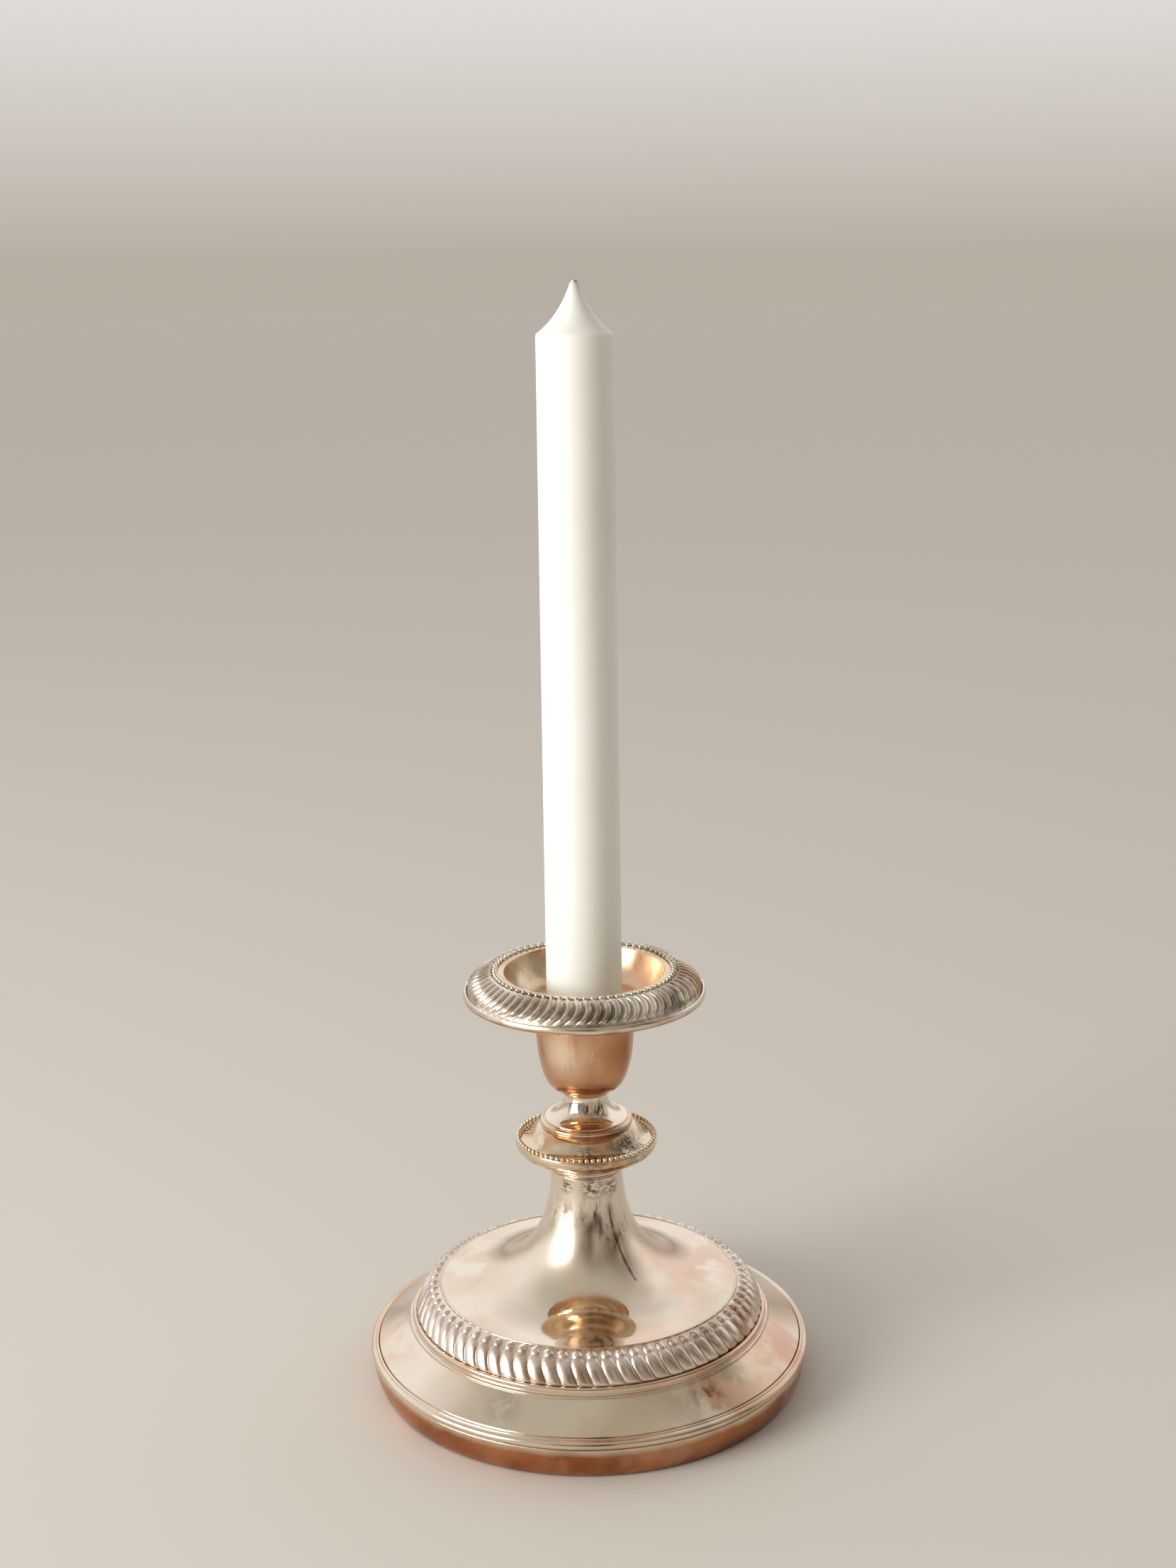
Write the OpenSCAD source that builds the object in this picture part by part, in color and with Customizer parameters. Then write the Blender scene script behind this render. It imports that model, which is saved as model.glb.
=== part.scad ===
// Table candlestick in silver plate on copper, with a loaded base, a stem
// clamped by one tie rod, a lift-out nozzle with a drip pan, and a candle.
// Millimetres, +Z up, origin on the axis at the underside of the baize.

/* [Sheet and fits] */
// Thickness of the spun copper sheet
sheet_t = 0.8; // [0.5:0.1:1.2]
// Gap left between the filling and the shells around it
fill_gap = 0.2; // [0.05:0.05:0.5]
// Radial gap of the nozzle sleeve in the cup liner
sleeve_fit = 0.08; // [0.02:0.01:0.1]
// Radial gap of the candle in the nozzle sleeve
candle_gap = 0.25; // [0.1:0.05:0.6]
// Gap left for solder under the struck borders
solder_gap = 0.05; // [0.02:0.01:0.1]

/* [Foot] */
// Radius of the rim moulding, the widest part of the base
rim_r = 65.5; // [52:0.5:85]
// Height of the rim moulding
rim_h = 2.9; // [2:0.1:5]
// Radial depth of the rim moulding
rim_w = 2.6; // [2:0.1:4]
// Height of the foot band below the rim moulding
foot_band_h = 9.2; // [6:0.1:14]
// Step from the rim moulding in to the foot band
foot_band_set = 0.8; // [0.3:0.1:1.5]
// How far the foot band tucks in from its top to its foot
foot_tuck = 2.4; // [0.5:0.1:4]
// How far the baize stands proud of the foot band
baize_proud = 0.4; // [0.2:0.1:1]
// Thickness of the baize pad
baize_t = 1.2; // [1.1:0.1:2.5]
// Thickness of the bottom plate
plate_t = 0.8; // [0.5:0.1:1.5]

/* [Skirt] */
// Radial width of the sloping skirt
skirt_w = 9.3; // [7:0.1:13]
// Rise of the skirt from the rim moulding to the riser
skirt_h = 6.1; // [4:0.1:10]
// How far the skirt sags below a straight slope
skirt_sag = 0.5; // [0:0.1:1.2]
// Radial width of the riser's small fillet
fillet_w = 0.7; // [0.3:0.1:1.5]
// Height of the riser between the skirt and the step
riser_h = 1.2; // [0.8:0.1:3]
// Radial width of the step wire
wire_w = 1.4; // [0.8:0.1:2.5]
// Height of the step wire
wire_h = 1.5; // [0.8:0.1:2.5]

/* [Base border] */
// Number of lobes around the base
base_lobes = 72; // [48:1:84]
// Radial width of the base border
border_w = 6.8; // [5:0.1:10]
// Height of the base border above the step
border_h = 9.1; // [6:0.1:12]
// Depth of the valleys between lobes
lobe_depth = 0.9; // [0.4:0.1:1.2]

/* [Stem] */
// Height of the trumpet from the dish edge to the stem's mouth
stem_h = 35.7; // [28:0.1:60]
// Radius of the stem at its mouth
stem_top_r = 10.5; // [8:0.1:13]
// Length of the nearly flat part of the dish
dish_reach = 20; // [12:0.5:22]
// Length over which the stem runs nearly straight
stem_reach = 24; // [16:0.5:26]
// Height of the collar between stem and knop
collar_h = 3.7; // [3:0.1:8]
// Depth of the collar's spigot in the stem
spigot_h = 3; // [2:0.5:6]

/* [Knop] */
// Radius of the knop's rim
knop_r = 21.15; // [18:0.05:27]
// Height of the knop's lower shell
knop_low_h = 5.8; // [5:0.1:8]
// Number of beads on the knop
knop_beads = 72; // [50:1:76]
// Height of the knop's upper shell
knop_high_h = 6.2; // [5:0.1:9]
// Radius of the stepped ring on the knop
step_ring_r = 13.65; // [12:0.05:15.5]
// Radius of a bead on the knop
knop_bead_r = 0.72; // [0.5:0.01:0.74]
// Height of the neck spool
neck_h = 8.1; // [6:0.1:13]
// Radius of the neck at its narrowest
neck_r = 6.2; // [5:0.1:9]

/* [Cup] */
// Height of the sconce cup
cup_h = 27.1; // [25:0.1:38]
// Radius of the cup at its mouth
cup_mouth_r = 14.9; // [14.4:0.1:18]
// Radius where the cup's bowl turns into its wall
cup_belly_r = 13.8; // [13.2:0.1:16]
// Height of that turn above the cup's foot
cup_belly_h = 12.6; // [11:0.1:18]
// Wall of the cup liner
liner_t = 0.6; // [0.4:0.1:0.8]
// Length of the cup liner
liner_len = 14; // [8:0.5:14.5]

/* [Nozzle] */
// Wall of the nozzle sleeve
sleeve_t = 0.6; // [0.4:0.1:0.8]
// Depth of the sleeve below the pan
sleeve_len = 18; // [12:0.1:18.5]
// Radius of the drip pan over its edge wire
pan_r = 35.35; // [30:0.05:44]
// Depth of the pan's well
well_h = 9.2; // [6:0.1:13]
// Radius of the well at its top
well_r = 23.2; // [21.5:0.1:26]
// Width of the ledge outside the well
ledge_w = 1.85; // [1.2:0.05:2.6]
// Drop of the pan's border from the ledge to the edge wire
pan_drop = 5.6; // [3:0.1:8]
// Number of lobes around the pan
pan_lobes = 70; // [40:1:80]
// Thickness of the pan's border at its lobes
pan_border_t = 1.3; // [1:0.1:2]
// Depth of the valleys between the pan's lobes
pan_lobe_depth = 0.6; // [0.3:0.1:0.8]
// Number of beads on the pan
pan_beads = 70; // [40:1:78]
// Radius of a bead on the pan
pan_bead_r = 0.8; // [0.5:0.05:0.85]

/* [Candle] */
// Radius of the candle at its foot
candle_r = 11; // [8.5:0.1:11.2]
// Radius of the candle at its shoulder
candle_top_r = 10.6; // [8:0.1:11]
// Length of the candle's straight part
candle_len = 207.7; // [100:0.1:280]
// Height of the candle's hollow-sided tip
tip_h = 13; // [6:0.5:20]
// Radius of the wick
wick_r = 0.9; // [0.5:0.1:1.2]
// Length of wick above the wax
wick_out = 0.7; // [0.2:0.1:12]

/* [Tie rod] */
// Radius of the tie rod
rod_r = 2.5; // [2:0.1:3.5]
// Radial gap around the tie rod
rod_gap = 0.3; // [0.1:0.05:0.6]
// Radius of the washer under the nut
washer_r = 9; // [6:0.5:14]
// Thickness of both washers
washer_t = 1.2; // [0.8:0.1:2]
// Radius of the rod's head and of the nut over its corners
nut_r = 4.6; // [4.2:0.1:6]
// Height of the nut
nut_h = 4; // [3:0.1:6]
// Height of the rod's head
head_h = 2.6; // [2:0.1:3.5]

/* [Hidden] */
$fn = 96;
CURVE = 14; // segments along a free curve
LOBE_STEPS = 4; // rings of points across one lobe
SLOT_W = 1; // screwdriver slot in the rod's head
SLOT_H = 1.2;
POCKET_GAP = 0.5; // air around the nut in its pocket
BEAD_LIFT = 0.02; // keeps a bead just clear of its seat
CAP = 0.5; // straight stub that squares off the end of a curved sheet

rod_bore = rod_r + rod_gap;
join = sheet_t + fill_gap;

// Heights, from the table up
z_foot = baize_proud;
z_plate = baize_t + plate_t;
z_rim = z_foot + foot_band_h;
z_skirt = z_rim + rim_h;
z_riser = z_skirt + skirt_h;
z_step = z_riser + riser_h;
z_dish = z_step + border_h;
z_stem = z_dish + stem_h;
z_knop = z_stem + collar_h;
z_bead = z_knop + knop_low_h;
z_neck = z_bead + knop_high_h;
z_cup = z_neck + neck_h;
z_mouth = z_cup + cup_h;
z_well = z_mouth + sheet_t;
z_ledge = z_well + well_h;
z_candle = z_mouth - sleeve_len + sleeve_t;
z_shoulder = z_candle + candle_len;
z_nut = z_plate + POCKET_GAP;
z_pocket = z_nut + nut_h + washer_t;

// Radii, from the rim in
band_r = rim_r - foot_band_set;
skirt_r = rim_r - rim_w;
riser_r = skirt_r - skirt_w - fillet_w;
wire_r = riser_r - 0.2;
border_r = wire_r - wire_w - solder_gap;
dish_r = border_r - border_w;
flange_r = dish_r - solder_gap;
stem_bore = stem_top_r - sheet_t;
bead_ring_r = knop_r - 1.15;
neck_foot_r = step_ring_r - 1.45;

// Nozzle and pan
sleeve_in = candle_r + candle_gap;
sleeve_out = sleeve_in + sleeve_t;
liner_in = sleeve_out + sleeve_fit;
liner_out = liner_in + liner_t;
seat_r = cup_mouth_r + 0.3;
ledge_r = well_r + ledge_w;
pan_bead_ring_r = ledge_r + pan_bead_r;
pan_slope_r = pan_bead_ring_r + pan_bead_r + 0.1;
edge_w = 1.1; // radial width of the pan's edge wire
bead_step = 0.6; // how far the beads' seat lies below the ledge
edge_in = pan_r - edge_w;
z_pan_seat = z_ledge - bead_step;
z_pan_edge = z_pan_seat - pan_drop;

// ---- Curves, as lists of [radius, height] ----

function lerp(a, b, t) = a + (b - a) * t;

// Curve from a to d that leaves a towards b and reaches d from c
function curve(a, b, c, d, n = CURVE) = [
    for (i = [0:n])
        let (t = i / n, u = 1 - t)
            a * u ^ 3 + b * 3 * u ^ 2 * t + c * 3 * u * t ^ 2 + d * t ^ 3
];

// Curve from a to c that is pulled towards b
function bend(a, b, c, n = CURVE) = [
    for (i = [0:n])
        let (t = i / n)
            lerp(lerp(a, b, t), lerp(b, c, t), t)
];

function reverse(p) = [for (i = [len(p) - 1:-1:0]) p[i]];

function unit(v) = v / norm(v);

// Left-hand normal of the stretch of p that starts at i
function side(p, i) =
    let (k = min(max(i, 0), len(p) - 2), d = unit(p[k + 1] - p[k]))
        [-d[1], d[0]];

// The path p moved to its left by t, with mitred corners
function moved(p, t) = [
    for (i = [0:len(p) - 1])
        let (a = side(p, i - 1), b = side(p, i), m = unit(a + b))
            p[i] + m * t / (m * a)
];

module turned(p) {
    rotate_extrude() polygon(p);
}

// Sheet of thickness t on the left of the path p, spun round the axis
module spun(p, t = sheet_t) {
    turned(concat(p, reverse(moved(p, t))));
}

module washer(r_in, r_out, z, h) {
    translate([0, 0, z]) difference() {
        cylinder(r = r_out, h = h);
        translate([0, 0, -1]) cylinder(r = r_in, h = h + 2);
    }
}

// A row of beads standing in a flat wire
module beading(n, ring_r, bead_r, z, wire_half, wire_t) {
    washer(ring_r - wire_half, ring_r + wire_half, z, wire_t);
    for (i = [0:n - 1])
        rotate([0, 0, 360 * i / n])
            translate([ring_r, 0, z + bead_r + BEAD_LIFT]) sphere(r = bead_r, $fn = 40);
}

// Closed ring of lobes. crest is the path over the top of a lobe and under
// the path that closes the section; depth and lean give, at each point of
// crest, how deep the valley is and how far round the lobe has leaned.
module lobed_ring(lobes, crest, under, depth, lean) {
    section = concat(crest, under);
    m = len(section);
    n = lobes * LOBE_STEPS;
    points = [
        for (k = [0:n - 1], j = [0:m - 1])
            let (
                on = j < len(crest),
                valley = (1 - cos(360 * k / LOBE_STEPS)) / 2,
                sink = on ? depth[j] * valley : 0,
                face = side(section, j) + side(section, j - 1),
                p = section[j] + unit(face) * sink,
                a = 360 * k / n + (on ? lean[j] : 0)
            )
            [p[0] * cos(a), p[0] * sin(a), p[1]]
    ];
    faces = [
        for (k = [0:n - 1], j = [0:m - 1], half = [0, 1])
            let (
                k2 = (k + 1) % n,
                j2 = (j + 1) % m,
                a = k * m + j,
                b = k2 * m + j,
                c = k2 * m + j2,
                d = k * m + j2
            )
            half == 0 ? [a, b, c] : [a, c, d]
    ];
    polyhedron(points, faces, convexity = 8);
}

// ---- Paths shared by pieces that touch ----

// Outside of the foot band, from its foot up
band_path = concat(bend(
    [band_r - foot_tuck, z_foot],
    [band_r + 0.1, z_foot + foot_band_h * 0.35],
    [band_r, z_rim - CAP], 8), [[band_r, z_rim]]);

// Outside of the base shell, from its hidden flange up to the step
skirt_mid = [skirt_r - skirt_w * 0.6, z_skirt + skirt_h * 0.6 - skirt_sag];
base_path = concat(
    [[skirt_r, z_rim]],
    bend([skirt_r, z_skirt], skirt_mid, [riser_r + fillet_w, z_riser], 8),
    [[riser_r, z_riser + fillet_w * 0.6], [riser_r, z_step], [flange_r - sheet_t, z_step]]);

// Outside of the stem shell, from its hidden flange over the dish to the mouth
stem_path = concat(
    [[flange_r, z_step], [flange_r, z_dish]],
    curve(
        [flange_r - 0.4, z_dish + 0.3],
        [flange_r - dish_reach, z_dish + 0.5],
        [stem_top_r + 0.4, z_stem - stem_reach],
        [stem_top_r, z_stem], 24));

// Outside of the cup, from its foot to its mouth
cup_path = concat(
    [[rod_bore, z_cup]],
    curve(
        [neck_r + 1, z_cup],
        [cup_belly_r - 2.6, z_cup + 0.7],
        [cup_belly_r - 1.1, z_cup + cup_belly_h - 7],
        [cup_belly_r, z_cup + cup_belly_h]),
    bend(
        [cup_belly_r + 0.08, z_cup + cup_belly_h + 0.6],
        [lerp(cup_belly_r, cup_mouth_r, 0.6), z_cup + cup_belly_h + 7],
        [cup_mouth_r, z_mouth - CAP], 6),
    [[cup_mouth_r, z_mouth]]);

// Top of the pan, from the candle hole over the well and ledge to its edge
pan_path = concat(
    [[sleeve_in, z_well]],
    bend([seat_r, z_well], [lerp(seat_r, well_r, 0.72), z_well], [well_r, z_ledge]),
    [[ledge_r, z_ledge], [ledge_r, z_pan_seat], [pan_slope_r, z_pan_seat], [edge_in, z_pan_edge]]);

// ---- Stick ----

module baize_pad() {
    color("darkgreen")
        cylinder(r = band_r - foot_tuck - sheet_t - fill_gap, h = baize_t);
}

module bottom_plate() {
    color("gray")
        translate([0, 0, baize_t])
            cylinder(r = band_r - foot_tuck - sheet_t - fill_gap, h = plate_t);
}

// Cast filling of base and stem, with a pocket for the nut
module base_weight() {
    band = moved(band_path, join);
    base = moved(base_path, join);
    stem = moved(stem_path, join);
    inside = concat(
        [for (p = band) if (p[1] > z_plate && p[1] < z_rim - fill_gap) p],
        [[skirt_r - join, z_rim - fill_gap]],
        [for (p = base) if (p[1] > z_rim) p],
        [for (p = stem) if (p[1] > z_step) p]);
    top = z_stem - spigot_h - fill_gap;
    color("tan") difference() {
        turned(concat(
            [[rod_bore, z_plate], [band_r - foot_tuck - join, z_plate]],
            [for (p = inside) if (p[1] < top) p],
            [[stem_bore - fill_gap, top], [rod_bore, top]]));
        translate([0, 0, z_plate - 1]) cylinder(r = washer_r + POCKET_GAP, h = z_pocket - z_plate + 1);
    }
}

module foot_band() {
    color("peru") spun(band_path);
}

// Rounded wire around the skirt's flange, on top of the foot band
module rim_moulding() {
    color("silver")
        turned(concat(
            [[skirt_r, z_rim], [band_r, z_rim]],
            curve(
                [rim_r - 0.5, z_rim + 0.2],
                [rim_r + 0.2, z_rim + 0.9],
                [rim_r + 0.1, z_skirt - 0.3],
                [skirt_r + 0.5, z_skirt], 10)));
}

module base_shell() {
    color("silver") spun(base_path);
}

module step_wire() {
    color("silver")
        turned(concat(
            [[wire_r - wire_w, z_step], [wire_r, z_step]],
            bend([wire_r, z_step + 0.5], [wire_r, z_step + wire_h], [wire_r - wire_w, z_step + wire_h], 6)));
}

// Struck border: a ball at the head of each lobe and a flute that leans
module base_gadroon() {
    foot = [border_r, z_step + wire_h];
    head = [dish_r, z_dish];
    crest = bend(foot, [border_r - 1, z_dish - 0.6], head, 7);
    n = len(crest);
    color("silver")
        lobed_ring(
            base_lobes,
            crest,
            [[dish_r, z_step], [border_r, z_step]],
            [for (j = [0:n - 1]) j == n - 1 ? 0 : lobe_depth * (j < n - 2 ? 1 : 0.7)],
            [for (j = [0:n - 1]) 3.3 * (1 - j / (n - 1)) ^ 2]);
}

module stem_shell() {
    color("silver") spun(stem_path);
}

// Ring with a spigot that centres it in the stem's mouth
module stem_collar() {
    r = stem_top_r + 0.1;
    color("silver")
        turned(concat(
            [[rod_bore, z_stem - spigot_h], [stem_bore - 0.1, z_stem - spigot_h], [stem_bore - 0.1, z_stem]],
            [[r - 0.3, z_stem], [r - 0.3, z_stem + 0.7]],
            bend([r, z_stem + 0.8], [r + 0.4, z_stem + collar_h / 2], [r - 0.1, z_knop - 0.6], 5),
            [[r - 0.8, z_knop], [rod_bore, z_knop]]));
}

module knop_lower() {
    path = concat(
        [[rod_bore, z_knop], [stem_top_r - 0.9, z_knop]],
        curve(
            [stem_top_r - 0.5, z_knop + 0.1],
            [knop_r - 3, z_knop + 0.3],
            [knop_r + 0.5, z_knop + 2.6],
            [bead_ring_r + 0.75, z_bead - CAP]),
        [[bead_ring_r + 0.75, z_bead]]);
    color("silver") spun(path);
}

module knop_upper() {
    path = concat(
        [[bead_ring_r - 0.1, z_bead], [bead_ring_r - 0.8, z_bead]],
        curve(
            [bead_ring_r - 1.1, z_bead + 0.1],
            [bead_ring_r - 3.6, z_bead + 0.3],
            [step_ring_r + 1.9, z_neck - 2],
            [step_ring_r - 0.4, z_neck - 1.7], 10),
        [[step_ring_r - 0.5, z_neck - 1.5]],
        bend(
            [step_ring_r - 0.1, z_neck - 1.2],
            [step_ring_r + 0.3, z_neck - 0.1],
            [step_ring_r - 0.7, z_neck], 5),
        [[rod_bore, z_neck]]);
    color("silver") spun(path);
}

module knop_beading() {
    color("silver") beading(knop_beads, bead_ring_r, knop_bead_r, z_bead, 0.7, 0.4);
}

module neck_spool() {
    color("silver")
        turned(concat(
            [[rod_bore, z_neck], [neck_foot_r, z_neck]],
            curve(
                [neck_foot_r, z_neck + 0.5],
                [neck_foot_r - 4, z_neck + 1.2],
                [neck_r + 0.2, z_cup - 3],
                [neck_r, z_cup], 10),
            [[rod_bore, z_cup]]));
}

module sconce_cup() {
    color("peru") spun(cup_path);
}

// Socket tube with a flange that closes the cup's mouth around it
module cup_liner() {
    mouth = moved(cup_path, sheet_t);
    flange_out = mouth[len(mouth) - 1][0] - solder_gap;
    color("peru") {
        difference() {
            union() {
                translate([0, 0, z_mouth - liner_len]) cylinder(r = liner_out, h = liner_len);
                translate([0, 0, z_mouth - liner_t]) cylinder(r = flange_out, h = liner_t);
            }
            translate([0, 0, z_mouth - liner_len - 1]) cylinder(r = liner_in, h = liner_len + 2);
        }
    }
}

module tie_rod() {
    z_seat = z_cup + sheet_t + washer_t;
    color("dimgray") difference() {
        union() {
            translate([0, 0, z_nut - POCKET_GAP / 2]) cylinder(r = rod_r, h = z_seat - z_nut + POCKET_GAP / 2);
            translate([0, 0, z_seat]) cylinder(r = nut_r, h = head_h);
        }
        translate([-nut_r - 1, -SLOT_W / 2, z_seat + head_h - SLOT_H]) cube([2 * nut_r + 2, SLOT_W, SLOT_H + 1]);
    }
}

module head_washer() {
    color("dimgray") washer(rod_r + rod_gap, nut_r + 0.8, z_cup + sheet_t, washer_t);
}

module foot_washer() {
    color("dimgray") washer(rod_r + rod_gap, washer_r, z_nut + nut_h, washer_t);
}

module tie_nut() {
    color("dimgray") translate([0, 0, z_nut]) difference() {
        cylinder(r = nut_r, h = nut_h, $fn = 6);
        translate([0, 0, -1]) cylinder(r = rod_r, h = nut_h + 2);
    }
}

// ---- Nozzle ----

module nozzle_sleeve() {
    color("peru") translate([0, 0, z_mouth - sleeve_len]) difference() {
        cylinder(r = sleeve_out, h = sleeve_len);
        translate([0, 0, sleeve_t]) cylinder(r = sleeve_in, h = sleeve_len);
    }
}

module drip_pan() {
    color("burlywood") turned(concat(pan_path, reverse(moved(pan_path, -sheet_t))));
}

// Struck border on the pan's slope: flutes that hook, then lean back
module pan_gadroon() {
    lift = [0, solder_gap];
    in_low = [pan_slope_r, z_pan_seat] + lift;
    out_low = lerp(in_low, [edge_in, z_pan_edge] + lift, 0.985);
    crest = bend(
        out_low + [0, 0.5],
        lerp(in_low, out_low, 0.4) + [1.2, pan_border_t + 0.6],
        in_low + [0, pan_border_t - 0.5], 6);
    n = len(crest);
    color("silver")
        lobed_ring(
            pan_lobes,
            crest,
            [in_low, out_low],
            [for (j = [0:n - 1]) j == 0 || j == n - 1 ? 0.1 : pan_lobe_depth],
            [for (j = [0:n - 1]) 2 * sin(180 * j / (n - 1)) - 5 * (1 - j / (n - 1)) ^ 2]);
}

module pan_beading() {
    color("silver") beading(pan_beads, pan_bead_ring_r, pan_bead_r, z_pan_seat, pan_bead_r - 0.05, 0.5);
}

// Rolled edge outside the pan's border
module pan_edge_wire() {
    low = z_pan_edge - sheet_t - 0.4;
    color("peru")
        turned(concat(
            [[edge_in, low]],
            curve(
                [edge_in + 0.2, low],
                [pan_r + 0.1, low],
                [pan_r + 0.15, z_pan_edge + 0.5],
                [edge_in + 0.5, z_pan_edge + 1], 8),
            [[edge_in, z_pan_edge + 1]]));
}

// ---- Candle ----

module candle() {
    color("ivory")
        turned(concat(
            [[wick_r, z_candle], [candle_r, z_candle], [candle_top_r, z_shoulder]],
            bend(
                [candle_top_r - 0.3, z_shoulder + 0.4],
                [wick_r + 3.1, z_shoulder + tip_h * 0.37],
                [wick_r + 0.2, z_shoulder + tip_h], 10),
            [[wick_r, z_shoulder + tip_h]]));
}

module wick() {
    color("gray")
        translate([0, 0, z_candle]) cylinder(r = wick_r, h = candle_len + tip_h + wick_out);
}

baize_pad();
bottom_plate();
base_weight();
foot_band();
rim_moulding();
base_shell();
step_wire();
base_gadroon();
stem_shell();
stem_collar();
knop_lower();
knop_upper();
knop_beading();
neck_spool();
sconce_cup();
cup_liner();
tie_rod();
head_washer();
foot_washer();
tie_nut();
nozzle_sleeve();
drip_pan();
pan_gadroon();
pan_beading();
pan_edge_wire();
candle();
wick();
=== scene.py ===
"""A worn silver-plated candlestick with a lift-out nozzle and a dinner candle.

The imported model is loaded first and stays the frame, and every piece made here
takes its place from that frame's boxes. Radii and heights are millimetres from
the axis and from the table. A mesh is drawn in metres.
"""

from __future__ import annotations

import logging
import math
from collections.abc import Callable, Mapping, Sequence
from dataclasses import dataclass
from enum import Enum
from typing import Any

import bpy
import numpy as np
from mathutils import Euler, Matrix, Vector


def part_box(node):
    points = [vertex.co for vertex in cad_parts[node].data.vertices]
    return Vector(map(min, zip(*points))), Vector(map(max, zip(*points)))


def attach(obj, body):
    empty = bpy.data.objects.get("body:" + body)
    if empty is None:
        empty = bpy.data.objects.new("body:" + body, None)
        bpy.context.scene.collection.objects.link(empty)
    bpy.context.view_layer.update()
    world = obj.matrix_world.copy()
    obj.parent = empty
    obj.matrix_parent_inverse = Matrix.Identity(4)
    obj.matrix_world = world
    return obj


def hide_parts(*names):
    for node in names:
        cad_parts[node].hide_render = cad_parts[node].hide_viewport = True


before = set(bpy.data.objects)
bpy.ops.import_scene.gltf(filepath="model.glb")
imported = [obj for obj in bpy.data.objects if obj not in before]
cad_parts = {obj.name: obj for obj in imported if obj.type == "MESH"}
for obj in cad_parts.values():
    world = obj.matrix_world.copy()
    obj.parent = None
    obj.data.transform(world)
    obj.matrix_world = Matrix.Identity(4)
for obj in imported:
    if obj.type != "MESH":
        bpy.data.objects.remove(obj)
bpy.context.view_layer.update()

log = logging.getLogger("candlestick")

MM = 0.001
FULL_TURN = 2 * math.pi
DOUBLES = 0.002  # millimetres within which two points are one
SHORTEST = 1e-9  # a length that is safe to divide by, in metres
EASE_SHARE = 0.42  # how much of a stretch the round on its corner may take
EASE_STEPS = 3  # stretches in a round on a corner
ROUND = 192  # steps in a turn, fine enough for a mirror finish
SMALL_ROUND = 96  # steps in a turn of a small or hidden piece

Point = tuple[float, float]
Path = list[Point]
Colour = tuple[float, float, float, float]


class Body(Enum):
    """The bodies that pieces ride on."""

    STICK = "stick"
    NOZZLE = "nozzle"
    CANDLE = "candle"


class Slot(Enum):
    """Names of the record's material slots."""

    SILVER = "silver_plate"
    STRUCK = "struck_silver"
    COPPER = "worn_copper"
    PALE = "pale_copper"
    BAIZE = "baize"
    WAX = "wax"
    WICK = "wick"


# ---------------------------------------------------------------- the frame


def low(node: str) -> float:
    """Height of a node's underside, in millimetres."""
    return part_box(node)[0].z / MM


def high(node: str) -> float:
    """Height of a node's top, in millimetres."""
    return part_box(node)[1].z / MM


def reach(node: str) -> float:
    """Largest radius of a node, in millimetres."""
    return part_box(node)[1].x / MM


# ---------------------------------------------------------------- outlines


def curve(a: Point, b: Point, c: Point, d: Point, count: int) -> Path:
    """Points on a curve that leaves a towards b and reaches d from c.

    Args:
        a: first point, as radius and height.
        b: the first handle.
        c: the second handle.
        d: last point.
        count: number of stretches.

    Returns:
        The points, both ends included.
    """
    points = []
    for i in range(count + 1):
        t = i / count
        u = 1 - t
        weights = (u**3, 3 * u * u * t, 3 * u * t * t, t**3)
        points.append(tuple(sum(w * p[k] for w, p in zip(weights, (a, b, c, d))) for k in (0, 1)))
    return points


def bend(a: Point, b: Point, c: Point, count: int) -> Path:
    """Points on a curve from a to c that is pulled towards b.

    Args:
        a: first point, as radius and height.
        b: the handle.
        c: last point.
        count: number of stretches.

    Returns:
        The points, both ends included.
    """
    near = (a[0] + (b[0] - a[0]) * 2 / 3, a[1] + (b[1] - a[1]) * 2 / 3)
    far = (c[0] + (b[0] - c[0]) * 2 / 3, c[1] + (b[1] - c[1]) * 2 / 3)
    return curve(a, near, far, c, count)


def arc(centre: Point, radius: float, start: float, stop: float, count: int) -> Path:
    """Points on a round stretch.

    Args:
        centre: centre of the round, as radius and height.
        radius: radius of the round.
        start: angle of the first point, in degrees, 0 being straight outwards.
        stop: angle of the last point, in degrees.
        count: number of stretches.

    Returns:
        The points, both ends included.
    """
    angles = [math.radians(start + (stop - start) * i / count) for i in range(count + 1)]
    return [(centre[0] + radius * math.cos(a), centre[1] + radius * math.sin(a)) for a in angles]


def moved(path: Path, distance: float) -> Path:
    """The path moved to its left, with its corners kept sharp.

    Args:
        path: the points.
        distance: how far it moves to its left, negative for its right.

    Returns:
        As many points as the path has.
    """
    points = np.array(path, float)
    steps = np.diff(points, axis=0)
    steps /= np.linalg.norm(steps, axis=1)[:, None]
    sides = np.c_[-steps[:, 1], steps[:, 0]]
    before = np.vstack([sides[:1], sides])
    after = np.vstack([sides, sides[-1:]])
    middle = before + after
    middle /= np.linalg.norm(middle, axis=1)[:, None]
    shift = middle * (distance / np.sum(middle * before, axis=1))[:, None]
    return [(float(r), float(z)) for r, z in points + shift]


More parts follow.
